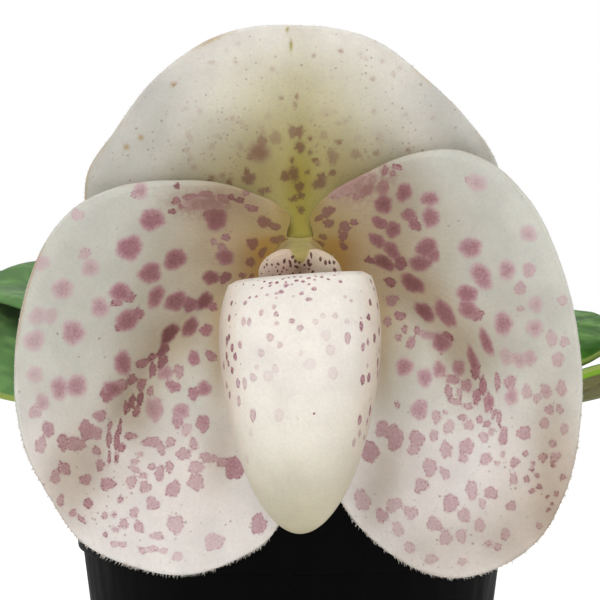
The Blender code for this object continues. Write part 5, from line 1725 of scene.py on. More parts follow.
@dataclass
class Stalk:
    """The hairy flower stalk with the bract at its joint and the ovary that carries the bloom.

    A coat is the number of its hairs, the shortest and the longest of them, and the seed of their scatter.
    """

    scape: Pairs = (
        (-5.5, 63.5), (-6.0, 69), (-8.2, 78), (-13.5, 88), (-21.0, 96), (-27, 99.7),
    )  # fmt: skip
    bract: Pairs = ((-24.5, 98.3), (-27.4, 99.9), (-33, 102.5), (-40, 104.9), (-45, 106.0))
    ovary: Pairs = (
        (-27.9, 100.2), (-33, 102.5), (-40, 104.9), (-47, 106.3), (-52, 106.8), (-55.9, 106.8),
    )
    ovary_radii: tuple[float, ...] = (1.6, 1.9, 2.2, 2.45, 2.6, 2.7, 2.7, 2.65, 2.55, 2.45, 2.35, 2.25)
    bract_thickness: float = 0.7
    bract_edge_share: float = 0.4
    bract_radii: Pair = (2.5, 3.6)
    bract_half_turn: float = 118
    scape_radii: Pair = (2.1, 1.75)
    scape_coat: tuple[int, Pair, int] = (2600, (0.4, 1.0), 41)
    ovary_coat: tuple[int, Pair, int] = (2400, (0.3, 0.8), 43)
    bract_coat: tuple[int, Pair, int] = (1300, (0.3, 0.7), 47)
    hair_width: float = 0.05

    def build(self, down: Material) -> None:
        """Makes the stalk, the ovary and the bract, each with its coat of hairs.

        Args:
            down: the hairs' finish.
        """
        purple = StemFinish("stalk_skin", srgb(92, 62, 56), srgb(112, 118, 66), 0.1).build()
        ribbed = StemFinish("ovary_skin", srgb(120, 126, 76), srgb(104, 62, 58), 0.06).build()
        leafy = StemFinish("bract_skin", srgb(142, 148, 92), srgb(112, 70, 66), 0.02).build()
        stalk = Stem("scape_stalk", stalk_line(self.scape), self.scape_radii, columns=36, rows=90)
        grown = coat(*stalk.build(purple, Skin.STALK, "scape"), *self.scape_coat)
        hand_in(hairs("scape_hairs", *grown, self.hair_width, down), Skin.STALK)
        line = stalk_line(self.ovary)
        ovary = Stem("ovary_body", line, self.ovary_radii, columns=72, rows=70, ribs=6, rib_depth=0.045)
        grown = coat(*ovary.build(ribbed, Skin.OVARY, "ovary"), *self.ovary_coat)
        hand_in(hairs("ovary_hairs", *grown, self.hair_width, down), Skin.OVARY)
        grown = coat(*self.build_bract(leafy), *self.bract_coat)
        hand_in(hairs("bract_hairs", *grown, self.hair_width, down), Skin.BRACT)

    def build_bract(self, skin: Material) -> tuple[Array, Array]:
        """Makes the bract's blade.

        Args:
            skin: its finish.

        Returns:
            Its outer points and their outward directions.
        """
        sheet = Sheet("bract_blade", 60, 80)
        line = stalk_line(self.bract)
        spine, ahead = line.at(sheet.along), line.ahead(sheet.along)
        below = np.cross(np.array((1.0, 0, 0)), ahead)
        taper = np.maximum(np.sqrt(np.maximum(1 - sheet.along**2.4, 0)), 0.05)
        turn = (2 * sheet.across - 1) * math.radians(self.bract_half_turn) * taper
        radius = mix(*self.bract_radii, rise(sheet.along, 0, 1 / 1.1))
        ways = np.array((1.0, 0, 0)) * np.sin(turn)[:, None] - below * np.cos(turn)[:, None]
        points = spine + ways * radius[:, None]
        sheet.shape(points, ways)
        sheet.keep(rim=np.maximum(rise(np.abs(2 * sheet.across - 1), 0.8, 1), rise(sheet.along, 0.9, 1)))
        sheet.dress(skin)
        sheet.thicken(self.bract_thickness, self.bract_edge_share)
        hand_in(sheet.obj, Skin.BRACT, "floral_bract")
        return points, ways


@dataclass
class Column:
    """The column: a short stout body that carries the shield."""

    line: tuple[Triple, ...] = (
        (1.8, 0, 1.3), (0.9, 0, 1.8), (0.1, 0, 2.75), (-2.6, -0.2, 2.9), (-4.6, -0.6, 2.6), (-6.2, -1.1, 2.0),
        (-7.4, -1.5, 1.2),
    )
    throat: Pair = (2.3, 4.6)
    throat_thickness: float = 0.3

    def build(self) -> None:
        """Makes the column, and the ring at its foot where petals and sepals join it."""
        line = Line(tuple((BLOOM[0], BLOOM[1] + d, BLOOM[2] + h) for d, h, _ in self.line))
        skin = StemFinish(
            "column_skin", srgb(163, 149, 80), srgb(138, 112, 66), -0.04, 0.5, flank=srgb(152, 126, 70)
        ).build()
        radii = tuple(radius for _, _, radius in self.line)
        Stem("column_body", line, radii, columns=48, rows=48).build(skin, Skin.COLUMN, "column")
        ring = Sheet("throat_ring", 72, 12)
        turn = ring.across * math.tau
        outer = self.throat[1] - 1.5 * hump(np.degrees(turn), 90, 40)
        radius = mix(self.throat[0], outer, ring.along)
        depth = -0.75 + 0.62 * (radius - self.throat[0])
        points = bloom_points(radius * np.cos(turn), depth, radius * np.sin(turn))
        ring.shape(points, FRONT)
        # The ring's sides and lower half, painted browner and darker: partly painted shade.
        ring.keep(flank=np.maximum(rise(np.abs(np.cos(turn)), 0.3, 0.6), rise(-np.sin(turn), -0.2, 0.2)))
        ring.close()
        ring.dress(skin)
        ring.thicken(self.throat_thickness, 1.0)
        hand_in(ring.obj, Skin.COLUMN)


@dataclass
class Leaf:
    """One strap-shaped leaf: a channelled blade along a spine that rises, swings aside and droops."""

    name: str
    foot: Pair
    heading: float
    swing: float
    length: float
    half_width: float
    rise: float
    droop: float
    roll: float
    channel: float
    flare: float
    pale: float = 0.0
    edge_line: float = 1.0
    sag: float = 0.0
    columns: int = 44
    rows: int = 110
    thickness: float = 1.7
    edge_share: float = 0.4
    foot_height: float = 63.8
    foot_width_share: float = 0.32
    foot_channel: float = 0.40
    tip_start: float = 0.62

    def spine(self, steps: int = 60) -> tuple[Array, Array]:
        """The spine.

        Args:
            steps: how many straight steps it is made of.

        Returns:
            Its points and its directions at their middles.
        """
        share = (np.arange(steps) + 0.5) / steps
        turn = self.heading_at(share)
        slope = np.radians(mix(self.rise, self.droop, share**0.85))
        level = np.cos(slope)
        ways = np.stack([np.cos(turn) * level, np.sin(turn) * level, np.sin(slope)], axis=1)
        start = np.array((*self.foot, self.foot_height))
        line = np.vstack([start, start + np.cumsum(ways, axis=0) * self.length / steps])
        return line, ways

    def heading_at(self, along: Array) -> Array:
        """The spine's compass direction."""
        return np.radians(self.heading + self.swing * rise(along, 0, 0.7))

    def half_width_at(self, along: Array) -> Array:
        """The blade is narrow at its foot, widest past its middle and round at its tip.

        Args:
            along: the shares of its length.

        Returns:
            Half its width at each.
        """
        waist = mix(self.foot_width_share, 1.0, rise(along, 0, 0.5))
        past = np.maximum((along - self.tip_start) / (1 - self.tip_start), 0)
        return self.half_width * waist * np.maximum(np.sqrt(np.maximum(1 - past**2.6, 0)), 0.03)

    def build(self, top: Material, underside: Material) -> None:
        """Makes the blade.

        Args:
            top: the upper skin.
            underside: the lower skin.
        """
        sheet = Sheet(f"{self.name}_blade", self.columns, self.rows)
        line, ways = self.spine()
        along = 1 - (1 - sheet.along) ** 1.25
        steps = len(ways)
        point = between(along * steps, np.arange(steps + 1), line)
        ahead = unit(between(along * steps, np.arange(steps) + 0.5, ways))
        turn = self.heading_at(along)
        level = np.stack([-np.sin(turn), np.cos(turn), np.zeros(len(turn))], axis=1)
        roll = np.radians(self.roll) * rise(along, 0, 0.45)
        side = level * np.cos(roll)[:, None] + np.cross(ahead, level) * np.sin(roll)[:, None]
        up = np.cross(ahead, side)
        v = 2 * sheet.across - 1
        half = self.half_width_at(along)
        channel = mix(self.foot_channel, self.channel, rise(along, 0, 0.35))
        flare = self.flare * rise(along, 0, 0.4)
        height = channel * (np.sqrt(v * v + 0.03) - math.sqrt(0.03)) - flare * v * v
        points = point + side * (v * half)[:, None] + up * (height * half)[:, None]
        seed = sum(map(ord, self.name))
        points += up * (waves(points, 14, seed) * 0.18 * rise(along, 0.1, 0.3))[:, None]
        points[:, 2] -= self.sag * rise(along, 0.1, 0.7)
        sheet.shape(points, up)
        flat = np.stack([v * half, along * self.length, np.full(len(v), float(seed % 97) * 40)], axis=1)
        sheet.keep(blade=flat)
        to_tip = (1 - along) * self.length
        edge = np.minimum((1 - np.abs(v)) * half, np.where(along > 0.8, to_tip, 99))
        sheet.keep(margin=edge + 9 * (1 - self.edge_line))
        sheet.keep(pale=self.pale)
        sheet.keep(rim=1 - rise(edge, 0, 1.6))
        sheet.dress(top, underside)
        sheet.thicken(self.thickness, self.edge_share)
        hand_in(sheet.obj, Skin.LEAF, self.name)


# pale lifts a leaf toward its pale colour: partly the leaf's bloom, and on the two left leaves painted light
# where the petals keep the lamps' light off them.
LEAVES = (
    Leaf("leaf_left_outer", (-8.8, 0), heading=181, swing=-4, length=112, half_width=17.4,
         rise=71, droop=-28, roll=-31, channel=0.12, flare=0.30, pale=0.18),
    Leaf("leaf_left_middle", (-6.2, 0.6), heading=176, swing=-96, length=86, half_width=13,
         rise=88, droop=-28, roll=16, channel=0.30, flare=0.16),
    Leaf("leaf_left_inner", (-3.2, 0.6), heading=179, swing=-2, length=69.4, half_width=13,
         rise=88.5, droop=-2.5, roll=-22, channel=0.27, flare=0.09, pale=0.2, edge_line=0.0),
    Leaf("leaf_right_outer", (8.8, 0), heading=-1, swing=3, length=107, half_width=17,
         rise=46.5, droop=-20, roll=-12, channel=0.20, flare=0.06),
    Leaf("leaf_right_middle", (6.2, 0.6), heading=4, swing=22, length=69, half_width=15,
         rise=76, droop=-2, roll=15, channel=0.13, flare=0.24, sag=1.5),
    Leaf("leaf_right_inner", (3.6, 0.6), heading=2, swing=40, length=54, half_width=11,
         rise=89, droop=46, roll=-6, channel=0.34, flare=0.10),
)  # fmt: skip


def select_ring(obj: Piece, radius: float, height: float) -> None:
    """Selects, in edit mode, the vertices of one ring about Z.

    Args:
        obj: the piece.
        radius: the ring's radius.
        height: its height.
    """
    mesh = bmesh.from_edit_mesh(obj.data)
    for vertex in mesh.verts:
        away = abs(math.hypot(vertex.co.x, vertex.co.y) - radius * MM) + abs(vertex.co.z - height * MM)
        vertex.select_set(away < 0.01 * MM)
    mesh.select_flush_mode()
    bmesh.update_edit_mesh(obj.data)


def extrude_up(height: float) -> None:
    """Extrudes the selection straight up by this much."""
    bpy.ops.mesh.extrude_region_move(TRANSFORM_OT_translate={"value": (0, 0, height * MM)})


def turned(name: str, profile: list[Pair], sides: int) -> Piece:
    """A round piece about Z, drawn ring by ring along its profile from the axis back to the axis.

    Args:
        name: the piece's name.
        profile: (radius, height) from the middle of its underside to the middle of its top.
        sides: how many sides it has.

    Returns:
        The closed piece.
    """
    deselect()
    (_, start), (radius, height), *rest = profile
    bpy.ops.mesh.primitive_circle_add(vertices=sides, radius=radius * MM)
    obj = bpy.context.object
    obj.name = name
    edit()
    bpy.ops.transform.translate(value=(0, 0, height * MM))
    extrude_up(start - height)
    bpy.ops.mesh.merge(type="CENTER")
    select_ring(obj, radius, height)
    for next_radius, next_height in rest:
        extrude_up(next_height - height)
        if next_radius == 0:
            bpy.ops.mesh.merge(type="CENTER")
            break
        share = next_radius / radius
        centre = (0, 0, next_height * MM)
        bpy.ops.transform.resize(value=(share, share, 1), center_override=centre)
        radius, height = next_radius, next_height
    bpy.ops.mesh.select_all(action="SELECT")
    bpy.ops.mesh.remove_doubles(threshold=MERGE)
    bpy.ops.mesh.normals_make_consistent(inside=False)
    bpy.ops.object.mode_set(mode="OBJECT")
    return obj


def rounded(corner: Pair, before: Pair, after: Pair, reach: float) -> list:
    """A corner of a profile, rounded with four steps.

    Args:
        corner: the sharp corner.
        before: a point on the line to it.
        after: a point on the line from it.
        reach: how far from the corner the rounding starts.

    Returns:
        Five points of the profile.
    """
    c = np.array(corner, float)
    a = c + unit(np.array(before, float) - c) * reach
    b = c + unit(np.array(after, float) - c) * reach
    shares = np.linspace(0, 1, 5)
    return [tuple((1 - t) ** 2 * a + 2 * t * (1 - t) * c + t**2 * b) for t in shares]


@dataclass
class Pot:
    """The round nursery pot: tapered, thicker below its rim, with drainage holes in its raised floor."""

    height: float = 72
    top_radius: float = 35.8
    base_radius: float = 26.5
    wall: float = 1.3
    floor: float = 2.0
    collar_height: float = 10.6
    collar_step: float = 0.8
    shoulder: Pair = (0.775, 8.0)
    sides: int = 160
    drain_count: int = 6
    drain_radius: float = 3.0
    drain_ring: float = 17.0

    def radius(self, height: float) -> float:
        """The outer wall's radius at a height."""
        return mix(self.base_radius, self.top_radius, height / self.height)

    def profile(self) -> list[Pair]:
        """The pot's section.

        Returns:
            Its points, from the middle of its underside to the middle of its floor.
        """
        collar = self.height - self.collar_height
        at_collar = self.radius(collar)
        rim = self.top_radius + self.collar_step
        inner = self.top_radius - self.wall
        foot = (self.base_radius - 0.1, 0.0)
        lip = (at_collar + self.collar_step, collar)
        under = (at_collar, collar)
        inner_foot = (self.radius(self.floor) - self.wall, self.floor)
        return [
            (0, 0.7), (8, 0.7), (21.6, 0.7), (22.2, 0.5), (22.6, 0.05), (23.0, 0.0),
            *rounded(foot, (20, 0), (self.radius(20), 20), 1.4),
            (self.radius(20), 20), (self.radius(40), 40),
            (at_collar - 0.03, collar - 0.5), (at_collar + 0.05, collar - 0.15),
            *rounded(lip, under, (rim, self.height), 0.35),
            *rounded((rim, self.height), lip, (inner, self.height), 0.45),
            *rounded((inner, self.height), (rim, self.height), inner_foot, 0.4),
            (inner - self.shoulder[0], self.height - self.shoulder[1]),
            *rounded(inner_foot, (inner, self.height), (0, self.floor), 1.2),
            (8, self.floor), (0, self.floor),
        ]  # fmt: skip

    def build(self, plastic: Material) -> None:
        """Makes the pot and drills its floor.

        Args:
            plastic: its finish.
        """
        pot = turned("pot_shell", self.profile(), self.sides)
        drills = []
        for k in range(self.drain_count):
            angle = math.tau * (k + 0.5) / self.drain_count
            ring, radius = self.drain_ring * MM, self.drain_radius * MM
            place = (math.cos(angle) * ring, math.sin(angle) * ring, 1 * MM)
            deselect()
            bpy.ops.mesh.primitive_cylinder_add(vertices=32, radius=radius, depth=8 * MM, location=place)
            drills.append(bpy.context.object)
        deselect()
        for drill in drills:
            drill.select_set(True)
        bpy.context.view_layer.objects.active = drills[0]
        bpy.ops.object.join()
        apply(pot, "BOOLEAN", object=drills[0], operation="DIFFERENCE", solver="EXACT")
        bpy.data.objects.remove(drills[0])
        smooth(pot, 35)
        pot.data.materials.clear()
        pot.data.materials.append(plastic)
        hand_in(pot, Skin.POT, "pot")


def rough_block(draw: random.Random, sizes: Pairs, least: float) -> Array:
    """The corners of a block of random size, each drawn in a little.

    Args:
        draw: the random draws.
        sizes: the smallest and the largest half size along each axis.
        least: the least share of its half size that a corner keeps.

    Returns:
        The eight corners.
    """
    size = [draw.uniform(low, high) for low, high in sizes]
    corners = [[s * half * draw.uniform(least, 1.0) for s, half in zip(signs, size)] for signs in CORNERS]
    return np.array(corners)


def lying(draw: random.Random, radius: float, angle: float, height: float, tilt: float) -> Matrix:
    """A place in the pot, turned and tilted at random.

    Args:
        draw: the random draws.
        radius: the distance from the pot's middle.
        angle: the direction from there.
        height: the height.
        tilt: the largest tilt, in radians.

    Returns:
        The place.
    """
    turn = Matrix.Rotation(draw.uniform(0, math.tau), 4, "Z")
    lean = Matrix.Rotation(draw.uniform(-tilt, tilt), 4, "X")
    return Matrix.Translation((radius * math.cos(angle), radius * math.sin(angle), height)) @ turn @ lean


@dataclass
class BarkMix:
    """The bark mix: a crumbly bed that fills the pot, and chips of bark that lie on it."""

    pot: Pot
    crown: Crown
    foot: float = 2.3
    top: float = 61.5
    gap: float = 0.3
    count: int = 56
    seed: int = 11
    smallest: Triple = (2.4, 1.9, 1.1)
    largest: Triple = (3.9, 3.0, 1.9)
    least_corner: float = 0.62
    tilt: float = 0.5
    crumbs: int = 190
    crumb_sizes: Pairs = ((0.5, 1.7), (0.4, 1.1), (0.25, 0.6))
    least_crumb_corner: float = 0.5
    crumb_tilt: float = 0.4

    def inner_radius(self, height: float) -> float:
        """The radius of the pot's inner wall at a height."""
        return self.pot.radius(height) - self.pot.wall

    def build(self, bark: Material) -> None:
        """Makes the bed and the chips.

        Args:
            bark: their finish.
        """
        wall = self.inner_radius(self.top) - self.gap
        low = self.inner_radius(self.foot) - 2 * self.gap
        hole = self.crown.radius + self.gap
        floor = self.crown.top - self.crown.depth - self.gap
        rings = [(float(radius), self.top) for radius in np.linspace(wall - 1, hole + 0.3, 26)]
        profile = [
            (0, self.foot), (12, self.foot), (low, self.foot),
            (mix(low, wall, 0.5), mix(self.foot, self.top - 1, 0.5)), (wall, self.top - 1),
            *rings, (hole, self.top - 0.3), (hole, floor), (0, floor),
        ]  # fmt: skip
        bed = turned("bark_bed", profile, 150)
        points = vertices(bed)
        radius = np.hypot(points[:, 0], points[:, 1])
        free = (points[:, 2] > self.top - 0.1) * rise(wall - radius, 0.6, 2.0) * rise(radius - hole, 0.2, 1.5)
        points[:, 2] += free * (waves(points, 3.1, 3) * 0.35 + waves(points, 1.2, 9) * 0.2 - 0.15)
        place_vertices(bed, points)
        keep(bed, "lot", 0.25 + 0.35 * rise(waves(points, 5, 21), -0.5, 0.6))
        smooth(bed, 50)
        bed.data.materials.append(bark)
        hand_in(bed, Skin.BARK, "growing_medium")
        self.build_chips("bark_chips", self.lying_chips(), 4, bark)
        self.build_chips("bark_crumbs", self.scattered_crumbs(), 2, bark)

    def lying_chips(self) -> list[tuple[Array, Matrix]]:
        """The big chips, on a golden spiral between the crown and the wall.

        Returns:
            For each chip its eight corners and its place.
        """
        draw = random.Random(self.seed)
        inner = self.crown.radius + self.largest[0]
        outer = self.inner_radius(self.top) - self.largest[0] - self.gap
        chips = []
        for k in range(self.count):
            corners = rough_block(draw, tuple(zip(self.smallest, self.largest)), self.least_corner)
            radius = math.sqrt(mix(inner**2, outer**2, (k + 0.5) / self.count))
            angle = k * GOLDEN_ANGLE + draw.uniform(-0.2, 0.2)
            height = self.top + draw.uniform(-0.2, 1.1)
            chips.append((corners, lying(draw, radius, angle, height, self.tilt)))
        return chips

    def scattered_crumbs(self) -> list[tuple[Array, Matrix]]:
        """Small bits of bark between the chips.

        Returns:
            For each crumb its eight corners and its place.
        """
        draw = random.Random(self.seed + 1)
        inner, outer = self.crown.radius + 1.8, self.inner_radius(self.top) - 2.2
        crumbs = []
        for _ in range(self.crumbs):
            corners = rough_block(draw, self.crumb_sizes, self.least_crumb_corner)
            radius = math.sqrt(draw.uniform(inner**2, outer**2))
            angle = draw.uniform(0, math.tau)
            height = self.top + draw.uniform(0, 0.5)
            crumbs.append((corners, lying(draw, radius, angle, height, self.crumb_tilt)))
        return crumbs

    def build_chips(self, name: str, chips: list[tuple[Array, Matrix]], cuts: int, bark: Material) -> None:
        """Makes one piece of many chips, each a subdivided block drawn to its own corners and roughened.

        Args:
            name: the piece's name.
            chips: each chip's corners and place.
            cuts: into how many cells a block's side is cut.
            bark: their finish.
        """
        deselect()
        bpy.ops.mesh.primitive_cube_add(size=2)
        block = bpy.context.object
        edit()
        bpy.ops.mesh.subdivide(number_cuts=cuts - 1)
        bpy.ops.object.mode_set(mode="OBJECT")
        unit_points = vertices(block) * MM
        pattern = [list(face.vertices) for face in block.data.polygons]
        bpy.data.objects.remove(block)
        weights = np.ones((len(unit_points), 8))
        for corner, signs in enumerate(CORNERS):
            weights[:, corner] = np.prod((1 + unit_points * np.array(signs)) / 2, axis=1)
        points, faces, lots = [], [], []
        for k, (corners, place) in enumerate(chips):
            here = weights @ corners
            here = here * (1 - 0.1 * (np.sum(unit_points**2, axis=1) - 1)[:, None])
            here = here * (1 + 0.05 * waves(here + 11.0 * k, 1.6, k)[:, None])
            here = here @ np.array(place.to_3x3()).T + np.array(place.translation)
            faces += [[index + len(points) * len(unit_points) for index in face] for face in pattern]
            points.append(here)
            lots.append(np.full(len(here), ((k * 61) % 97) / 97))
        obj = new_piece(name, np.vstack(points), faces)
        keep(obj, "lot", np.concatenate(lots))
        smooth(obj, 38)
        obj.data.materials.append(bark)
        hand_in(obj, Skin.BARK)


@dataclass
class Crown:
    """The short stem that the leaves and the stalk stand on, ringed by old leaf feet."""

    radius: float = 10.6
    top: float = 63.0
    depth: float = 12.0

    def build(self) -> None:
        """Makes the crown."""
        foot = self.top - self.depth
        radius = self.radius
        profile = [
            (0, foot), (radius - 4, foot), (radius - 1.2, foot + 2), (radius, foot + 4),
            (radius, foot + 7.5), (radius - 0.35, foot + 9), (radius - 0.1, foot + 9.6),
            *rounded((radius, self.top), (radius, foot), (0, self.top), 1.3),
            (radius - 3, self.top), (3, self.top), (0, self.top),
        ]  # fmt: skip
        crown = turned("crown_mound", profile, 96)
        skin = StemFinish("crown_skin", srgb(128, 122, 74), srgb(98, 72, 52), 0.08).build()
        smooth(crown, 40)
        crown.data.materials.append(skin)
        hand_in(crown, Skin.CROWN, "crown")


@dataclass
class Studio:
    """The pale floor, the soft light and the camera.

    The floor's and the lamps' sizes are in metres, and a lamp is its name, its place and its power in watts.
    """

    lens: float = 107.6
    sensor: float = 36
    nearest: float = 10
    floor_size: float = 12.0
    lamp_size: float = 0.5
    lamps: tuple[tuple[str, Triple, float], ...] = (
        ("key", (-160, -380, 620), 1.85), ("fill", (420, -360, 240), 0.35), ("back", (60, 480, 520), 0.9),
    )  # fmt: skip
    ambient_colour: Colour = (1.0, 0.99, 0.97)
    ambient_strength: float = 0.46

    def build(self) -> None:
        """Sets the camera, the floor, the surroundings and the lamps."""
        camera_data = bpy.data.cameras.new("camera")
        camera_data.lens = self.lens
        camera_data.sensor_width = self.sensor
        camera_data.sensor_fit = "HORIZONTAL"
        camera_data.clip_start = self.nearest * MM
        camera = link("camera", camera_data)
        camera.location = Vector((BLOOM[0], BLOOM[1] - VIEW_DISTANCE, VIEW_HEIGHT)) * MM
        camera.rotation_euler = (math.pi / 2, 0, 0)
        bpy.context.scene.camera = camera
        bpy.context.scene.view_settings.view_transform = "Standard"

        deselect()
        bpy.ops.mesh.primitive_plane_add(size=self.floor_size, location=(0, 0, 0))
        floor = bpy.context.object
        floor.name = "studio_floor"
        place_vertices(floor, vertices(floor) - np.array((0, 0, 0.1)))
        floor.data.materials.append(FloorFinish("floor_paint").build())
        floor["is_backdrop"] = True

        world = bpy.data.worlds.new("studio")
        world.use_nodes = True
        tree = world.node_tree
        ambient = tree.nodes["Background"]
        ambient.inputs["Color"].default_value = (*self.ambient_colour, 1)
        ambient.inputs["Strength"].default_value = self.ambient_strength
        seen = tree.nodes.new("ShaderNodeBackground")
        seen.inputs["Color"].default_value = (1, 1, 1, 1)
        path = tree.nodes.new("ShaderNodeLightPath")
        either = tree.nodes.new("ShaderNodeMixShader")
        tree.links.new(path.outputs["Is Camera Ray"], either.inputs[0])
        tree.links.new(ambient.outputs[0], either.inputs[1])
        tree.links.new(seen.outputs[0], either.inputs[2])
        tree.links.new(either.outputs[0], tree.nodes["World Output"].inputs["Surface"])
        bpy.context.scene.world = world

        for name, place, power in self.lamps:
            self.lamp(name, place, power)

    def lamp(self, name: str, place: Triple, power: float) -> None:
        """Hangs one soft square lamp and points it at the bloom.

        Args:
            name: its name.
            place: where it hangs.
            power: its power in watts.
        """
        data = bpy.data.lights.new(name, "AREA")
        data.size = self.lamp_size
        data.energy = power
        lamp = link(name, data)
        lamp.location = Vector(place) * MM
        aim = Vector(BLOOM * MM) - lamp.location
        lamp.rotation_euler = aim.to_track_quat("-Z", "Y").to_euler()


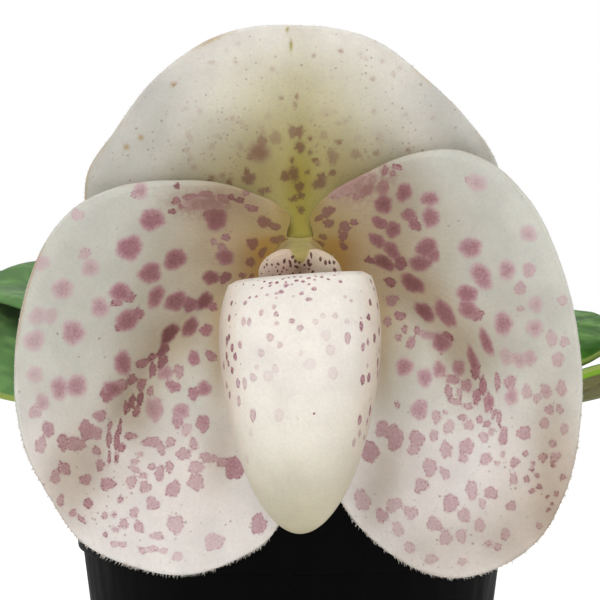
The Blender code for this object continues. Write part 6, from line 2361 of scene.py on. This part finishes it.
@dataclass
class Bloom:
    """The one flower: two sepals, two petals, the lip, the column and its shield."""

    reach_right: Reach = Reach((
        (-88, 17), (-84, 26), (-80, 32.6), (-74, 39.2), (-66, 45.3), (-58, 47.7),
        (-50, 48.1), (-42, 46.5), (-28, 42.2), (-14, 37.9), (0, 34.4), (16, 31.1),
        (28, 28.1), (37, 24.7), (44, 20.6), (54, 14.6), (66, 10.2), (78, 6.4),
    ))  # fmt: skip
    reach_left: Reach = Reach((
        (-88, 31), (-84.5, 35.6), (-78, 39.9), (-70, 43.8), (-61, 45.9), (-52, 46.8),
        (-44, 45.6), (-34, 43.9), (-21, 40.5), (-8, 36.9), (4, 33.8), (14, 30.4),
        (22, 26.4), (34, 19.6), (44, 15.4), (56, 11.1), (66, 8.9), (78, 6.4),
    ))  # fmt: skip
    reach_dorsal: Reach = Reach((
        (-76, 30.2), (-68, 31.1), (-55, 30.4), (-40, 30.8), (-22, 31.3), (0, 30.8),
        (20, 30.5), (34, 29.5), (48, 29.4), (66, 29.6), (76, 28.4),
    ))  # fmt: skip

    def build(self, down: Material) -> None:
        """Makes the whole flower.

        Args:
            down: the hairs' finish.
        """
        petal = TissueFinish(
            "petal_skin", clear=srgb(236, 231, 227), shade=srgb(217, 218, 209), tan=srgb(194, 174, 140),
            olive=srgb(158, 136, 70), rust=srgb(166, 126, 46),
        )  # fmt: skip
        sepal = TissueFinish(
            "sepal_skin", clear=srgb(240, 236, 230), shade=srgb(214, 214, 208), tan=srgb(208, 198, 152),
            olive=srgb(170, 157, 60), rust=srgb(184, 152, 84), spot_browning=0.55, spot_faintness=0.12,
            spot_growth=0.02, spot_raggedness=0.5, spot_softness=0.7, speck_strength=0.55,
            spot_colours=(srgb(206, 180, 166), srgb(180, 148, 130), srgb(138, 100, 76)),
        )  # fmt: skip
        reverse = TissueFinish(
            "petal_reverse", clear=srgb(232, 230, 220), shade=srgb(222, 220, 204), tan=srgb(206, 198, 160),
            olive=srgb(176, 172, 104), rust=srgb(170, 140, 110), spot_strength=0.35,
        )  # fmt: skip
        lip = TissueFinish(
            "lip_skin", clear=srgb(244, 238, 230), shade=srgb(232, 227, 212), tan=srgb(222, 206, 186),
            olive=srgb(198, 192, 158), rust=srgb(200, 170, 140), spot_softness=0.16, spot_raggedness=0.12,
            spot_faintness=0.1, spot_browning=0.0, spot_growth=0.0,
            roughness=0.42, vein_depth=0.02, subsurface=0.2, sheen=0.05,
        )  # fmt: skip
        lining = TissueFinish(
            "lip_lining", clear=srgb(238, 232, 214), shade=srgb(226, 218, 186), tan=srgb(214, 196, 168),
            olive=srgb(190, 182, 132), rust=srgb(190, 160, 130), spot_strength=0.4, roughness=0.5,
        )  # fmt: skip
        shield = TissueFinish(
            "shield_skin", clear=srgb(222, 207, 186), shade=srgb(214, 196, 172), tan=srgb(206, 178, 154),
            olive=srgb(166, 151, 80), rust=srgb(200, 152, 144), spot_softness=0.09, spot_raggedness=0.15,
            spot_colours=(srgb(168, 112, 108), srgb(128, 70, 66), srgb(78, 34, 30)), vein_depth=0.0,
            spot_browning=0.0, spot_growth=-0.05, blush=srgb(168, 96, 88),
        )  # fmt: skip
        petal_skin, petal_reverse, sepal_skin = petal.build(), reverse.build(), sepal.build()
        DorsalSepal(self.reach_dorsal, Spots(DORSAL_SPOTS, 3)).build(sepal_skin, petal_reverse, down)
        Synsepal().build(sepal_skin, petal_reverse)
        left = Petal(
            Side.LEFT, self.reach_left, Spots(LEFT_SPOTS, 5, low_fade=0.2), blush=(13.0, 13.0, 5.4, 2.0, 0),
            crease_start=(12, 18),
            shadows=(
                (0.46, (13.5, 10, 12, 9, -18)), (0.3, (27, -17, 8.5, 12, 0)), (0.18, (13, -17, 8, 20, 0)),
                (0.2, (11.3, -14, 3, 11, 0)), (0.5, (20.9, -3, 4, 8, 12)), (0.5, (22.7, -14.5, 3.5, 4.5, 0)),
                (0.5, (30.8, -24, 4.5, 7, 20)), (0.3, (7.8, 3.6, 3.6, 3.4, 0)),
                (0.35, (9, 13.6, 5, 3.4, -20)), (0.3, (10, -21, 2.6, 5, 15)), (0.16, (28, 0, 8, 7, 0)),
            ),
        )  # fmt: skip
        right = Petal(
            Side.RIGHT, self.reach_right, Spots(RIGHT_SPOTS, 7, strength=0.88, low_fade=0.3),
            blush=(8.8, 15.4, 4.6, 2.2, 25), crease_swing=16,
            shadows=(
                (0.44, (14.5, 9.5, 13, 10, -35)), (0.3, (33, -28, 7, 13, 0)), (0.2, (14, -16, 8, 20, 0)),
                (0.2, (12.4, -12, 3, 10, 0)), (0.16, (32, -8, 8, 11, 0)), (0.5, (34.6, -24, 3.6, 13, 4)),
                (0.35, (21, -34, 8, 5, 0)), (0.08, (12.4, -8, 2.4, 4.5, 0)), (0.4, (22.6, -7.5, 4.6, 5.5, 0)),
                (0.3, (29, -30, 6, 6, 0)), (0.4, (10.5, -25, 2.6, 6, -12)), (0.2, (13, 14.5, 4, 4, 0)),
                (0.2, (26.8, -4, 5, 7, 0)),
            ),
        )  # fmt: skip
        left.build(petal_skin, petal_reverse, down)
        right.build(petal_skin, petal_reverse, down)
        Pouch(Spots(POUCH_SPOTS, 9, 0.6)).build(lip.build(), lining.build())
        Column().build()
        Staminode(Spots(SHIELD_SPOTS, 13, 0.3)).build(shield.build())


@dataclass
class PottedOrchid:
    """The whole plant in its pot."""

    pot: Pot = field(default_factory=Pot)
    crown: Crown = field(default_factory=Crown)
    stalk: Stalk = field(default_factory=Stalk)
    bloom: Bloom = field(default_factory=Bloom)

    def build(self) -> None:
        """Makes every piece and dresses it."""
        self.pot.build(PlasticFinish("black_plastic_satin").build())
        BarkMix(self.pot, self.crown).build(BarkFinish("fir_bark").build())
        self.crown.build()
        top = LeafFinish(
            "leaf_upper_skin", dark=srgb(38, 82, 20), middle=srgb(66, 116, 34), light=srgb(110, 158, 74),
            pale=srgb(176, 206, 168), margin=srgb(160, 178, 92), margin_width=0.75, speck=srgb(98, 74, 66),
            speck_share=0.0, roughness=0.5,
        ).build()  # fmt: skip
        underside = LeafFinish(
            "leaf_under_skin", dark=srgb(86, 86, 30), middle=srgb(99, 99, 37), light=srgb(112, 112, 47),
            pale=srgb(150, 152, 100), margin=srgb(134, 183, 44), margin_width=1.9, speck=srgb(88, 50, 56),
            speck_share=0.72, roughness=0.55,
        ).build()  # fmt: skip
        for leaf in LEAVES:
            leaf.build(top, underside)
        down = HairFinish("down", root=srgb(206, 196, 184), tip=srgb(240, 236, 226)).build()
        self.stalk.build(down)
        self.bloom.build(down)


def corners() -> list[list[float]]:
    """The whole object's box as plain numbers: its lowest and its highest corner."""
    return [[float(value) for value in corner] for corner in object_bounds()]


def main() -> None:
    """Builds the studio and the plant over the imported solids."""
    logging.basicConfig(level=logging.INFO, format="%(name)s: %(message)s")
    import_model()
    deselect()
    Studio().build()
    PottedOrchid().build()
    deselect()
    bpy.context.view_layer.update()


if __name__ == "__main__":
    main()
